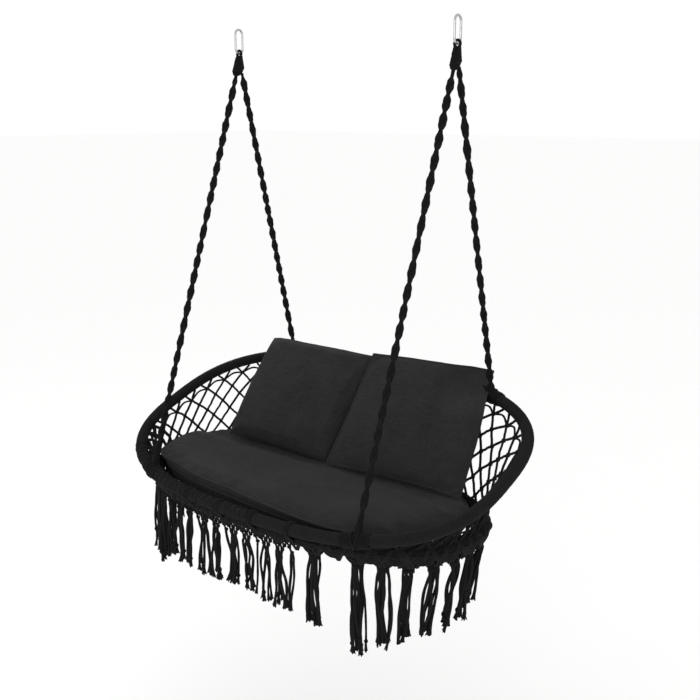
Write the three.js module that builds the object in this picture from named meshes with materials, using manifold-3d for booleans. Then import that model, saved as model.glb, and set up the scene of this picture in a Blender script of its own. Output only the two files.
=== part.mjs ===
// Two-seat macrame hanging chair: an oval cord-wrapped hoop tilted back over a
// smaller level seat hoop, netting between and across them, a cord fringe below,
// a seat cushion with two back cushions, and two twisted-rope V hangers that
// each end in an oval steel ring.
// Millimetres, +X along the long side (right), +Y to the back, +Z up. The origin
// is just below the longest fringe tip, under the middle of the upper hoop.
import * as THREE from "three";
import { mergeVertices } from "three/addons/utils/BufferGeometryUtils.js";
import Module from "manifold-3d";

const { Vector2, Vector3, Matrix4 } = THREE;
const LEFT_RIGHT = [["left", -1], ["right", 1]]; // name, sign of x
const FRONT_BACK = [["front", -1], ["back", 1]]; // name, sign of y

// ---- driving dimensions ----
// The chair group's zero is the middle of the upper hoop; heights below are from there.
const LIFT = 458; // upper hoop's centre over the origin
const TILT = THREE.MathUtils.degToRad(20); // upper hoop leans back

// Hoops: superellipse half axes and power of the centre line, tube and wrap radii
const UPPER = { halfX: 614, halfY: 375, power: 2.72, tube: 12.5, wrap: 17 };
const LOWER = { halfX: 546, halfY: 272, power: 2.5, tube: 11, wrap: 15.5, y: -50, z: -160 };
const TUBE_WALL = 1.5;
const WRAP_GAP = 0.5; // between tube and wrap
const HOOP_STEPS = 40;
const HOOP_SIDES = 8;
const HOOP_SLIT = 0.0012; // half the angle left open at the back joint
const SPIGOT = { length: 60, gap: 1.6, inward: 0.4 };

// Hangers
const HANG_X = 382; // half the spacing of the two hanging points
const HANG_Y = 85; // hanging points behind the hoop's middle
const V_TOP = 1057; // where the two legs of a V would meet
const RING = { wire: 3.25, bend: 14, low: 1075.3, high: 1142.7 }; // low, high: bar centre lines
const RING_SIDES = 8;
const RING_STEPS = 24;
const EYE = { gap: 1.6, cord: 3.8 }; // gap round the ring's wire, cord radius
const LEG = { thin: 6.5, thick: 11, end: 8, bead: 48, margin: 6 }; // radii, then lengths
const LEG_CLEAR = 32; // lower end of a leg over the hoop's plane
const LEG_REACH = 0.957; // share of the way to the V's top where a leg ends
const NECK = {
  gap: 1.5, // over the leg ends
  overlap: 1, // into the eye
  radius: 7.4, // at the top
  flareX: 2.6, // added to the half width in x at the bottom
  reach: 1.5, // past the leg ends at the bottom
  flareRate: 1.25, // how soon it reaches its full spread going down
};
const WHIPPING = { radius: 12.6, width: 8, below: 8, gap: 0.6, cutExtra: 6 };

// Rope lashings where a leg is tied round the hoop
const LASH = { radius: 22, half: 34, steps: 3, wrapGap: 0.45, netGap: 1, netEndGap: 1.2 };
// Front bands round both hoops; inner and outer are radii about the centre lines
const BAND = { xs: [-190, -62, 62, 190], half: 9, inner: 18.6, outer: 21.6, netGap: 0.8 };

// Nets
const NET_THICK = 3;
const SIDE_NET = { openX: 300, gap: 2.6, drawShare: 0.085, drawMax: 24 };
const SEAT_NET = { sag: 34, gap: 2.2, radii: [0, 0.6, 0.82, 0.93, 1] };

// Cushions
const COVER_SKIN = 2.5;
const FILL_GAP = 1.6; // between cover and filling
const SLOT = { high: 8, zipHigh: 6.8, zipShorter: 2 };
const SEAT = { halfX: 512, halfY: 262, power: 2.5, x: -18, y: -57, low: -168, high: -90 };
const SEAT_PRESS = { depth: 24, fromY: -60, toY: 20 }; // lowered back half of the top
const SEAT_SLOT = { long: 420, deep: 60, inward: 8, raise: 3 };
const BACK = { thick: 118, edge: 26, y: 142, z: 45 };
const BACK_SIZES = {
  left: { from: -422, to: -19, high: 350 },
  right: { from: -14, to: 446, high: 366 },
};
const BACK_LEAN = Math.atan2(211, 288); // from vertical
const BACK_TURN = THREE.MathUtils.degToRad(2.5); // right-hand side further back
const BACK_SLOT = { shorter: 130, deep: 40, raise: 12 };

// Fringe bundles
const FRINGE_Z = LOWER.z - LOWER.wrap - 5; // top of the bundles
// x on the front of the lower hoop, length, half width
const FRONT_BUNDLES = [
  [-360, 212, 28], [-240, 182, 38], [-120, 196, 40], [0, 190, 40],
  [120, 195, 32], [240, 222, 20], [360, 276, 20],
];
const FRONT_THICK = 9; // half thickness
const SIDE_BUNDLES = { startX: 360, pitch: 66, half: 17, thick: 8 };
const SIDE_LENGTHS = [246, 229, 224, 214, 218, 198]; // from the front round the end

// ---- materials ----
const standard = (settings) => new THREE.MeshStandardMaterial(settings);
const STEEL = standard({ color: 0xc9ccce, roughness: 0.25, metalness: 1 });
const TUBE = standard({ color: 0x2b2b2d, roughness: 0.5, metalness: 0.6 });
const CORD = standard({ color: 0x0e0e0f, roughness: 0.92 });
const CLOTH = standard({ color: 0x232424, roughness: 0.9 });
const FOAM = standard({ color: 0xd8d2bf, roughness: 0.95 });
const FIBRE = standard({ color: 0xe6e6e2, roughness: 0.95 });
const ZIP = standard({ color: 0x151515, roughness: 0.6 });

// ---- boolean helpers ----
const wasm = await Module();
wasm.setup();

function solid(geometry, matrix) {
  const loose = geometry.index ? geometry.toNonIndexed() : geometry;
  const bare = new THREE.BufferGeometry();
  bare.setAttribute("position", loose.getAttribute("position").clone());
  if (matrix) bare.applyMatrix4(matrix);
  const merged = mergeVertices(bare, 1e-3);
  return new wasm.Manifold(
    new wasm.Mesh({
      numProp: 3,
      vertProperties: new Float32Array(merged.attributes.position.array),
      triVerts: new Uint32Array(merged.index.array),
    }),
  );
}

function geometryOf(manifold) {
  const { vertProperties, triVerts } = manifold.getMesh();
  const geometry = new THREE.BufferGeometry();
  const positions = new THREE.BufferAttribute(new Float32Array(vertProperties), 3);
  geometry.setAttribute("position", positions);
  geometry.setIndex(new THREE.BufferAttribute(new Uint32Array(triVerts), 1));
  geometry.computeVertexNormals();
  return geometry;
}

// ---- shape helpers ----
const moveTo = (x, y, z) => new Matrix4().makeTranslation(x, y, z);
const boxAt = (size, centre) => solid(new THREE.BoxGeometry(...size), moveTo(...centre));

// Moves every vertex to the Vector3 that move(x, y, z) gives.
function reshape(geometry, move) {
  const positions = geometry.attributes.position;
  for (let i = 0; i < positions.count; i++) {
    const point = move(positions.getX(i), positions.getY(i), positions.getZ(i));
    positions.setXYZ(i, point.x, point.y, point.z);
  }
  return geometry;
}

// A lathe from [radius, height] rows.
function lathe(rows, segments) {
  const points = rows.map(([radius, height]) => new Vector2(radius, height));
  return new THREE.LatheGeometry(points, segments);
}

// A lathe stood up along z, its vertices then moved by move(x, y, z).
const uprightLathe = (rows, segments, move) =>
  reshape(lathe(rows, segments), (x, y, z) => move(x, -z, y));

// A point on a superellipse by angle.
function oval({ halfX, halfY, power }, angle) {
  const cos = Math.cos(angle);
  const sin = Math.sin(angle);
  const sum = Math.pow(Math.abs(cos), power) + Math.pow(Math.abs(sin), power);
  const scale = Math.pow(sum, -1 / power);
  return new Vector2(halfX * cos * scale, halfY * sin * scale);
}

// The y, on the back half, where the oval passes a given x.
const ovalY = ({ halfX, halfY, power }, x) =>
  halfY * Math.pow(1 - Math.pow(Math.abs(x) / halfX, power), 1 / power);

// The angle of the point at x; side is -1 for front, 1 for back.
const angleAt = (hoop, x, side) =>
  Math.atan2((side * ovalY(hoop, x)) / hoop.halfY, x / hoop.halfX);

// Unit tangent, counter-clockwise seen from above.
function tangent(hoop, angle) {
  const step = 1e-4;
  return oval(hoop, angle + step).sub(oval(hoop, angle - step)).normalize();
}

// A hoop's centre line from one angle to another, in its own plane.
class HoopPath extends THREE.Curve {
  constructor(hoop, from, to) {
    super();
    Object.assign(this, { hoop, from, to });
    this.arcLengthDivisions = 1440;
  }
  getPoint(share, target = new Vector3()) {
    const point = oval(this.hoop, this.from + (this.to - this.from) * share);
    return target.set(point.x, point.y, 0);
  }
}

// A piece of the centre line, reaching the same length to either side of an angle.
function pathAround(hoop, middle, reach) {
  const step = 1e-3;
  const [from, to] = [-1, 1].map((way) => {
    let angle = middle;
    let done = 0;
    let last = oval(hoop, middle);
    while (done < reach) {
      angle += way * step;
      const next = oval(hoop, angle);
      done += next.distanceTo(last);
      last = next;
    }
    return angle;
  });
  return new HoopPath(hoop, from, to);
}

function polygon(radius) {
  return Array.from({ length: HOOP_SIDES }, (_, i) => {
    const angle = ((i + 0.5) / HOOP_SIDES) * 2 * Math.PI;
    return new Vector2(radius * Math.cos(angle), radius * Math.sin(angle));
  });
}

// A rod along a path, or a pipe where an inner radius is given.
function rodAlong(path, steps, outer, inner) {
  const shape = new THREE.Shape(polygon(outer));
  if (inner) shape.holes.push(new THREE.Path(polygon(inner)));
  return new THREE.ExtrudeGeometry(shape, { extrudePath: path, steps, bevelEnabled: false });
}

// From the upper hoop's plane, and from the lower hoop's, to the chair's frame.
const fromUpper = ({ x, y }) => new Vector3(x, y * Math.cos(TILT), y * Math.sin(TILT));
const fromLower = ({ x, y }) => new Vector3(x, y + LOWER.y, LOWER.z);

// ---- groups ----
const part = new THREE.Group();
const chair = new THREE.Group();
chair.position.z = LIFT;
part.add(chair);
const upperPlane = new THREE.Group();
upperPlane.rotation.x = TILT;
chair.add(upperPlane);
const lowerPlane = new THREE.Group();
lowerPlane.position.set(0, LOWER.y, LOWER.z);

function add(parent, name, geometry, material) {
  const mesh = new THREE.Mesh(geometry, material);
  mesh.name = name;
  parent.add(mesh);
  return mesh;
}

// ---- hoops: a bent tube closed over a spigot at the back, with a cord wrap ----
function addHoop(parent, name, hoop) {
  const path = new HoopPath(hoop, Math.PI / 2 + HOOP_SLIT, Math.PI * 2.5 - HOOP_SLIT);
  const bore = hoop.tube - TUBE_WALL;
  add(parent, name + "_tube", rodAlong(path, HOOP_STEPS, hoop.tube, bore), TUBE);
  const wrap = rodAlong(path, HOOP_STEPS, hoop.wrap, hoop.tube + WRAP_GAP);
  add(parent, name + "_wrap", wrap, CORD);
  const radius = bore - SPIGOT.gap;
  const plug = new THREE.CylinderGeometry(radius, radius, SPIGOT.length, 8);
  const spigot = add(parent, name + "_spigot", plug, TUBE);
  spigot.rotation.z = Math.PI / 2;
  spigot.position.set(0, hoop.halfY - SPIGOT.inward, 0);
  return path;
}
const upperPath = addHoop(upperPlane, "upper_hoop", UPPER);
chair.add(lowerPlane);
addHoop(lowerPlane, "lower_hoop", LOWER);

// ---- rope lashings round the upper hoop, cut clear of its wrap ----
// Returns the slightly larger solids that clear the side net, in the hoop's plane.
function addRopeLashings() {
  const wrapCutter = solid(rodAlong(upperPath, HOOP_STEPS, UPPER.wrap + LASH.wrapGap));
  const netCutters = [];
  for (const [side, signX] of LEFT_RIGHT)
    for (const [end, signY] of FRONT_BACK) {
      const angle = angleAt(UPPER, signX * HANG_X, signY);
      const rod = (radius, half) =>
        solid(rodAlong(pathAround(UPPER, angle, half), LASH.steps, radius));
      netCutters.push(rod(LASH.radius + LASH.netGap, LASH.half + LASH.netEndGap));
      const lashing = rod(LASH.radius, LASH.half).subtract(wrapCutter);
      add(upperPlane, `rope_lashing_${end}_${side}`, geometryOf(lashing), CORD);
    }
  return netCutters;
}
const lashingCutters = addRopeLashings();

// ---- front bands that bind the two hoops where they run side by side ----
// Outline of a long round-ended loop about two points.
function capsule(start, end, radius, steps = 5) {
  const heading = Math.atan2(end.y - start.y, end.x - start.x);
  const points = [];
  for (const [centre, turn] of [[start, Math.PI / 2], [end, -Math.PI / 2]])
    for (let i = 0; i <= steps; i++) {
      const angle = heading + turn + (Math.PI * i) / steps;
      const offset = new Vector2(radius * Math.cos(angle), radius * Math.sin(angle));
      points.push(offset.add(centre));
    }
  return points;
}

function bandGeometry(x, inner, outer, half) {
  const [start, end] = [
    fromUpper({ x, y: -ovalY(UPPER, x) }),
    fromLower({ x, y: -ovalY(LOWER, x) }),
  ].map(({ y, z }) => new Vector2(y, z));
  const shape = new THREE.Shape(capsule(start, end, outer));
  if (inner) shape.holes.push(new THREE.Path(capsule(start, end, inner)));
  const band = new THREE.ExtrudeGeometry(shape, {
    depth: 2 * half,
    bevelEnabled: false,
    steps: 1,
  });
  // shape x is the chair's y, shape y is its z, depth runs along its x
  return band.applyMatrix4(
    new Matrix4().set(0, 0, 1, x - half, 1, 0, 0, 0, 0, 1, 0, 0, 0, 0, 0, 1),
  );
}
BAND.xs.forEach((x, i) => {
  const band = bandGeometry(x, BAND.inner, BAND.outer, BAND.half);
  add(chair, `front_lashing_${i + 1}`, band, CORD);
});

// ---- side net: from the lower hoop up to the upper hoop, open at the front, ----
// ---- drawn in between the hoops as a tensioned net is ----
function addSideNet() {
  const from = angleAt(UPPER, SIDE_NET.openX, -1);
  const to = 2 * Math.PI + angleAt(UPPER, -SIDE_NET.openX, -1);
  // x of the box runs round the hoops, y from lower to upper, z through the net
  const sheet = reshape(new THREE.BoxGeometry(1, 1, 1, 34, 4, 1), (x, y, z) => {
    const angle = from + (to - from) * (x + 0.5);
    const rise = y + 0.5;
    const upper = fromUpper(oval(UPPER, angle));
    const lower = fromLower(oval(LOWER, angle));
    const upperTangent = fromUpper(tangent(UPPER, angle));
    const flat = tangent(LOWER, angle);
    const lowerTangent = new Vector3(flat.x, flat.y, 0);
    const span = upper.clone().sub(lower);
    // leave each hoop square to its own centre line
    const squareTo = (line) => span.clone().addScaledVector(line, -span.dot(line)).normalize();
    const bottom = lower.addScaledVector(squareTo(lowerTangent), LOWER.wrap + SIDE_NET.gap);
    const top = upper.addScaledVector(squareTo(upperTangent), -UPPER.wrap - SIDE_NET.gap);
    const outward = lowerTangent.clone().add(upperTangent).cross(span).normalize();
    const draw = Math.min(SIDE_NET.drawShare * span.length(), SIDE_NET.drawMax);
    return bottom
      .lerp(top, rise)
      .addScaledVector(outward, -4 * rise * (1 - rise) * draw)
      .addScaledVector(outward, z * NET_THICK);
  });
  let net = solid(sheet);
  const tilt = new Matrix4().makeRotationX(TILT);
  for (const cutter of lashingCutters) net = net.subtract(solid(geometryOf(cutter), tilt));
  add(chair, "side_net", geometryOf(net), CORD);
}
addSideNet();

// ---- seat net: a slightly sagging sheet inside the lower hoop ----
function addSeatNet() {
  const { radii, gap, sag } = SEAT_NET;
  const rows = [
    ...radii.map((radius) => [radius, -NET_THICK / 2]),
    ...radii.map((radius) => [radius, NET_THICK / 2]).reverse(),
  ];
  const sheet = uprightLathe(rows, 32, (x, y, z) => {
    const radius = Math.hypot(x, y);
    const angle = Math.atan2(y, x);
    const line = tangent(LOWER, angle);
    const inward = new Vector2(-line.y, line.x);
    const rim = oval(LOWER, angle).addScaledVector(inward, LOWER.wrap + gap);
    const drop = sag * (1 - Math.pow(radius, 5));
    return new Vector3(rim.x * radius, rim.y * radius, z - drop);
  });
  let net = solid(sheet, moveTo(0, LOWER.y, LOWER.z));
  for (const x of BAND.xs) {
    const cutter = bandGeometry(x, 0, BAND.outer + BAND.netGap, BAND.half + BAND.netGap);
    net = net.subtract(solid(cutter));
  }
  add(chair, "seat_net", geometryOf(net), CORD);
}
addSeatNet();

// ---- cushions: a fabric cover with a zipped slot over a filling ----
// shapeAt(inset) gives the cushion's solid; slotAt(long, high) a box through the skin.
function addCushion(parent, prefix, { shapeAt, slotAt, slotLong, fillName, fillMaterial }) {
  const skin = shapeAt(0).subtract(shapeAt(COVER_SKIN));
  const slot = slotAt(slotLong, SLOT.high);
  const zip = slotAt(slotLong - SLOT.zipShorter, SLOT.zipHigh);
  const filling = geometryOf(shapeAt(COVER_SKIN + FILL_GAP));
  add(parent, prefix + "_cover", geometryOf(skin.subtract(slot)), CLOTH);
  add(parent, prefix + "_zip", geometryOf(skin.intersect(zip)), ZIP);
  add(parent, `${prefix}_${fillName}`, filling, fillMaterial);
}

// Seat cushion profile: share of the radius, share of the half height
const SEAT_ROWS = [
  [0, -1.3], [0.5, -1.22], [0.8, -0.92], [0.91, -0.5], [1, 0.12],
  [1, 0.42], [0.93, 0.84], [0.7, 1], [0.35, 1], [0, 1],
];
const SEAT_MIDDLE = (SEAT.high + SEAT.low) / 2;

function seatShape(inset) {
  const halfHigh = (SEAT.high - SEAT.low) / 2 - inset;
  const outline = {
    halfX: SEAT.halfX - inset,
    halfY: SEAT.halfY - inset,
    power: SEAT.power,
  };
  const cushion = uprightLathe(SEAT_ROWS, 28, (x, y, z) => {
    const radius = Math.hypot(x, y);
    const rim = oval(outline, Math.atan2(y, x));
    const placedY = rim.y * radius + SEAT.y;
    // the back half of the top lies lower, pressed by the back cushions
    const { depth, fromY, toY } = SEAT_PRESS;
    const press = depth * THREE.MathUtils.smoothstep(placedY, fromY, toY) * Math.max(0, z);
    return new Vector3(SEAT.x + rim.x * radius, placedY, SEAT_MIDDLE + z * halfHigh - press);
  });
  return solid(cushion);
}

addCushion(chair, "seat_cushion", {
  shapeAt: seatShape,
  slotAt: (long, high) =>
    boxAt(
      [long, SEAT_SLOT.deep, high],
      [0, SEAT.y + SEAT.halfY - SEAT_SLOT.inward, SEAT_MIDDLE + SEAT_SLOT.raise],
    ),
  slotLong: SEAT_SLOT.long,
  fillName: "foam",
  fillMaterial: FOAM,
});

function backShape(wide, high, inset) {
  const halfWide = wide / 2 - inset;
  const halfHigh = high / 2 - inset;
  const halfEdge = BACK.edge / 2;
  const cushion = reshape(new THREE.BoxGeometry(2, 1, 2, 7, 1, 7), (x, y, z) => {
    const crown = Math.pow(Math.max(0, (1 - x * x) * (1 - z * z)), 0.45);
    const halfThick = halfEdge + (BACK.thick / 2 - halfEdge) * crown - inset;
    // sides draw in a little between the corners
    const drawX = 1 - 0.035 * (1 - z * z) * Math.abs(x);
    const drawZ = 1 - 0.03 * (1 - x * x) * Math.abs(z);
    return new Vector3(x * halfWide * drawX, halfThick * Math.sign(y), z * halfHigh * drawZ);
  });
  return solid(cushion);
}

function addBackCushion(side) {
  const { from, to, high } = BACK_SIZES[side];
  const wide = to - from;
  const drop = (BACK_SIZES.right.high - high) / 2; // both stand on the same line
  const frame = new THREE.Group();
  frame.rotation.order = "ZXY";
  frame.position.set(
    (from + to) / 2,
    BACK.y - drop * Math.sin(BACK_LEAN),
    BACK.z - drop * Math.cos(BACK_LEAN),
  );
  frame.rotation.set(-BACK_LEAN, 0, BACK_TURN);
  chair.add(frame);
  addCushion(frame, "back_cushion_" + side, {
    shapeAt: (inset) => backShape(wide, high, inset),
    slotAt: (long, slotHigh) =>
      boxAt([long, slotHigh, BACK_SLOT.deep], [0, 0, -high / 2 + BACK_SLOT.raise]),
    slotLong: wide - BACK_SLOT.shorter,
    fillName: "filling",
    fillMaterial: FIBRE,
  });
}
for (const [side] of LEFT_RIGHT) addBackCushion(side);

// ---- hangers: oval ring, rope eye with its neck, whipping, and the V's two legs ----
const upperNormal = new Vector3(0, -Math.sin(TILT), Math.cos(TILT));
// Chair-frame point as coordinates in the whole part, for userData.
const inPart = ({ x, y, z }) => [x, y, z + LIFT];

// Oval ring in the plane of the V, its ends pulled apart vertically.
function addRing(side, x) {
  const stretch = (RING.high - RING.low) / 2 - RING.bend;
  const facet = Math.PI / RING_SIDES; // half a side of the wire's section
  const torus = new THREE.TorusGeometry(RING.bend, RING.wire, RING_SIDES, RING_STEPS);
  const geometry = reshape(torus, (torusX, torusY, torusZ) => {
    // each section of the wire turns half a facet, so that one faces into the ring
    const angle = Math.atan2(torusY, torusX) + Math.PI / RING_STEPS;
    const off = Math.hypot(torusX, torusY) - RING.bend;
    const radius = RING.bend + off * Math.cos(facet) - torusZ * Math.sin(facet);
    const through = off * Math.sin(facet) + torusZ * Math.cos(facet);
    const sin = Math.sin(angle);
    const lift = Math.sign(sin) * stretch;
    return new Vector3(through, radius * Math.cos(angle), radius * sin + lift);
  });
  const ring = add(chair, "hanging_ring_" + side, geometryOf(solid(geometry)), STEEL);
  ring.position.set(x, HANG_Y, (RING.low + RING.high) / 2);
}

// Neck profile: share of the radius, share of the height
const NECK_ROWS = [[0, 0], [1, 0], [1.12, 0.16], [1.1, 0.55], [0.9, 0.82], [1, 1], [0, 1]];

// Eye round the ring's bottom bar, the neck that gathers both legs, and a collar
// of fine cord round the neck just under the eye.
function addEyeAndWhipping(side, x, frontTop, backTop) {
  const quarterTurn = new Matrix4().makeRotationX(Math.PI / 2);
  const eyeRadius = RING.wire + EYE.gap + EYE.cord;
  const eye = solid(
    new THREE.TorusGeometry(eyeRadius, EYE.cord, 8, 16),
    moveTo(x, HANG_Y, RING.low).multiply(quarterTurn),
  );
  const top = new Vector3(x, HANG_Y, RING.low - eyeRadius + NECK.overlap);
  const bottom = frontTop.clone().add(backTop).multiplyScalar(0.5);
  bottom.addScaledVector(upperNormal, LEG.end + NECK.gap);
  const spread = frontTop.distanceTo(backTop) / 2 + NECK.reach;
  const neck = uprightLathe(NECK_ROWS, 12, (rowX, rowY, rise) => {
    const fall = 1 - rise;
    const halfX = NECK.radius + NECK.flareX * fall;
    const halfY = NECK.radius + spread * Math.min(1, fall * NECK.flareRate);
    const slope = new Vector3(0, Math.cos(TILT * fall), Math.sin(TILT * fall));
    const point = bottom.clone().lerp(top, rise);
    point.x += rowX * halfX;
    return point.addScaledVector(slope, rowY * halfY);
  });
  const ropeEye = add(chair, "rope_eye_" + side, geometryOf(eye.add(solid(neck))), CORD);
  ropeEye.userData.pivot = inPart({ x, y: HANG_Y, z: RING.low + RING.bend });

  const { radius, width, below, gap, cutExtra } = WHIPPING;
  const disc = solid(
    new THREE.CylinderGeometry(radius, radius, width, 12),
    moveTo(x, HANG_Y, top.z - below).multiply(quarterTurn),
  );
  // the collar follows the neck's own outline with an even gap
  const grownNeck = reshape(neck.clone(), (neckX, neckY, neckZ) => {
    const rise = (neckZ - bottom.z) / (top.z - bottom.z);
    const offX = neckX - x;
    const offY = neckY - THREE.MathUtils.lerp(bottom.y, top.y, rise);
    const length = Math.hypot(offX, offY) || 1;
    return new Vector3(
      neckX + (offX / length) * gap,
      neckY + (offY / length) * gap,
      neckZ + (rise > 0.98 ? cutExtra : 0),
    );
  });
  const collar = disc.subtract(solid(grownNeck)).subtract(eye);
  add(chair, "neck_whipping_" + side, geometryOf(collar), CORD);
}

// One leg of a V: a rope with a swelling for each turn of its twist.
function addLeg(name, low, top) {
  const direction = top.clone().sub(low);
  const length = direction.length();
  direction.normalize();
  const beaded = length - 2 * LEG.margin;
  const beads = Math.round(beaded / LEG.bead);
  const beadAt = (place) => LEG.margin + (beaded * place) / beads;
  const rows = [[0, -LEG.end], [LEG.end * 0.75, -LEG.end * 0.62], [LEG.end, 0]];
  for (let i = 0; i < beads; i++) {
    if (i) rows.push([LEG.thin, beadAt(i)]);
    rows.push([LEG.thick, beadAt(i + 0.5)]);
  }
  rows.push([LEG.end, length], [LEG.end * 0.75, length + LEG.end * 0.62], [0, length + LEG.end]);
  const leg = add(chair, name, lathe(rows, 6), CORD);
  leg.position.copy(low);
  leg.quaternion.setFromUnitVectors(new Vector3(0, 1, 0), direction);
  leg.userData.low = inPart(low);
  leg.userData.high = inPart(top);
}

function addHanger(side, x) {
  const meet = new Vector3(x, HANG_Y, V_TOP);
  const legs = FRONT_BACK.map(([end, signY]) => {
    const tie = fromUpper({ x, y: signY * ovalY(UPPER, HANG_X) });
    const run = meet.clone().sub(tie);
    return {
      end,
      low: tie.clone().addScaledVector(run, LEG_CLEAR / run.dot(upperNormal)),
      top: tie.clone().addScaledVector(run, LEG_REACH),
    };
  });
  addRing(side, x);
  addEyeAndWhipping(side, x, legs[0].top, legs[1].top);
  for (const { end, low, top } of legs) addLeg(`hanging_rope_${end}_${side}`, low, top);
}
for (const [side, signX] of LEFT_RIGHT) addHanger(side, signX * HANG_X);

// ---- fringe: bundles of loose cord hung under the lower hoop ----
// half and thick are the half width along the hoop and half thickness across it.
function addBundle(name, { angle, length, half, thick }) {
  // share of the half width, height
  const rows = [
    [0, -length], [0.86, -length], [1, -length * 0.72], [0.9, -length * 0.3],
    [1, -26], [0.92, -8], [0.4, 0], [0, 0],
  ];
  const geometry = uprightLathe(rows, 8, (x, y, z) => {
    // thinner near the top, and widened at the very top
    const slim = z > -10 ? 0.55 : 1;
    const widen = z > -1 ? 2.2 : 1;
    return new Vector3(y * thick * slim, -x * half * widen, z);
  });
  const line = tangent(LOWER, angle);
  const facing = Math.atan2(-line.x, line.y); // outward from the hoop
  const bundle = add(chair, name, geometry, CORD);
  bundle.rotation.z = facing;
  bundle.position.copy(fromLower(oval(LOWER, angle))).setZ(FRINGE_Z);
  bundle.userData.hinge = inPart(bundle.position);
  bundle.userData.out = [Math.cos(facing), Math.sin(facing), 0];
}

// Angles at an even pitch along the lower hoop, from a front x round the right end.
function walkAngles(startX, count, pitch) {
  const angles = [];
  let angle = angleAt(LOWER, startX, -1);
  let last = oval(LOWER, angle);
  let left = pitch;
  while (angles.length < count) {
    angle += 0.002;
    const next = oval(LOWER, angle);
    left -= next.distanceTo(last);
    last = next;
    if (left <= 0) {
      angles.push(angle);
      left += pitch;
    }
  }
  return angles;
}

// Numbered from the back of the left end, along the front, to the back of the right end.
function addFringe() {
  const { startX, pitch, half, thick } = SIDE_BUNDLES;
  const right = walkAngles(startX, SIDE_LENGTHS.length, pitch).map((angle, i) => {
    return { angle, length: SIDE_LENGTHS[i], half, thick };
  });
  const left = right.map((bundle) => ({ ...bundle, angle: Math.PI - bundle.angle })).reverse();
  const front = FRONT_BUNDLES.map(([x, length, halfWide]) => {
    return { angle: angleAt(LOWER, x, -1), length, half: halfWide, thick: FRONT_THICK };
  });
  [...left, ...front, ...right].forEach((bundle, i) =>
    addBundle("fringe_bundle_" + String(i + 1).padStart(2, "0"), bundle),
  );
}
addFringe();

export default part;
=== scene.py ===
"""A hanging chair knotted from dark cord, in metres, +Z up.

X runs from the left (-) to the right (+), Y from the front (-) to the back (+). Two oval
hoops carry a knotted side net and a sagging seat net. Four rope legs rise from the upper
hoop to two steel rings, a fringe hangs from the lower hoop, and a seat cushion and two back
cushions lie inside. "Run" means the length along a line or round a hoop.
"""

import math

import bmesh
import bpy
import numpy as np
from mathutils import Matrix, Vector
from mathutils.bvhtree import BVHTree


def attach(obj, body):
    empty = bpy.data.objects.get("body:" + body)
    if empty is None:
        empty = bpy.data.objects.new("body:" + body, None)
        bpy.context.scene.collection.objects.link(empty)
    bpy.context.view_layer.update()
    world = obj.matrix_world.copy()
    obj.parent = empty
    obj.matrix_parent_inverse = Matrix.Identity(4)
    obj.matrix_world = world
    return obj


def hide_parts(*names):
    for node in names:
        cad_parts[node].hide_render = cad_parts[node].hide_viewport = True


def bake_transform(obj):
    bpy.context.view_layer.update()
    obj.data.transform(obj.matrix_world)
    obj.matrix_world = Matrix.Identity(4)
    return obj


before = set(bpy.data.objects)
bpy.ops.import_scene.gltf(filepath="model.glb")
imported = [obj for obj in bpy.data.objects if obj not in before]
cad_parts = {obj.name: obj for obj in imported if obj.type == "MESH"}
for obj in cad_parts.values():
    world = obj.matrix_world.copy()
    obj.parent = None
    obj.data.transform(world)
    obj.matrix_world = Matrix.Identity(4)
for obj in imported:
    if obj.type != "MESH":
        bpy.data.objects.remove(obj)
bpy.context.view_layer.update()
rng = np.random.default_rng(7)

RIGHT = np.array([1.0, 0, 0])
BACK = np.array([0, 1.0, 0])
UP = np.array([0, 0, 1.0])
SIDES = ((-1, "left"), (1, "right"))
ENDS = ((-1, "front"), (1, "back"))


# ------------------------------------------------------------------ curves


def unit(vector):
    vector = np.asarray(vector, float)
    return vector / np.maximum(np.linalg.norm(vector, axis=-1, keepdims=True), 1e-12)


def full_turn(count):
    return 2 * math.pi * np.arange(count) / count


def around(angle, axis_1, axis_2):
    """The direction at an angle from axis_1 towards axis_2."""
    angle = np.asarray(angle)[..., None]
    return np.cos(angle) * axis_1 + np.sin(angle) * axis_2


def coil(turns, per_turn):
    """The share of the way, 0 to 1, and the angle at each point of a coil."""
    step = np.arange(turns * per_turn + 1)
    return step / (turns * per_turn), 2 * math.pi * step / per_turn


def ease(share):
    """A soft step from 0 to 1."""
    share = np.clip(share, 0, 1)
    return share * share * (3 - 2 * share)


def runs_along(points):
    """The run at each point of a line."""
    return np.r_[0, np.cumsum(np.linalg.norm(np.diff(points, axis=0), axis=1))]


def at_run(points, run):
    runs = runs_along(points)
    return np.stack([np.interp(run, runs, points[:, axis]) for axis in range(3)], -1)


def smooth_path(points, count):
    """A Catmull-Rom curve through points, as count samples."""
    points = np.asarray(points, float)
    points = np.r_[2 * points[:1] - points[1:2], points, 2 * points[-1:] - points[-2:-1]]
    spans = len(points) - 3
    place = np.linspace(0, spans, count)
    i = np.minimum(place.astype(int), spans - 1)
    f = (place - i)[:, None]
    before, start, end, after = points[i], points[i + 1], points[i + 2], points[i + 3]
    return 0.5 * (
        2 * start
        + (end - before) * f
        + (2 * before - 5 * start + 4 * end - after) * f**2
        + (3 * start - before - 3 * end + after) * f**3
    )


def soften_ring(points, times):
    """Averages each point of a closed line with its neighbours."""
    for _ in range(times):
        points = (np.roll(points, 1, 0) + 2 * points + np.roll(points, -1, 0)) / 4
    return points


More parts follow.
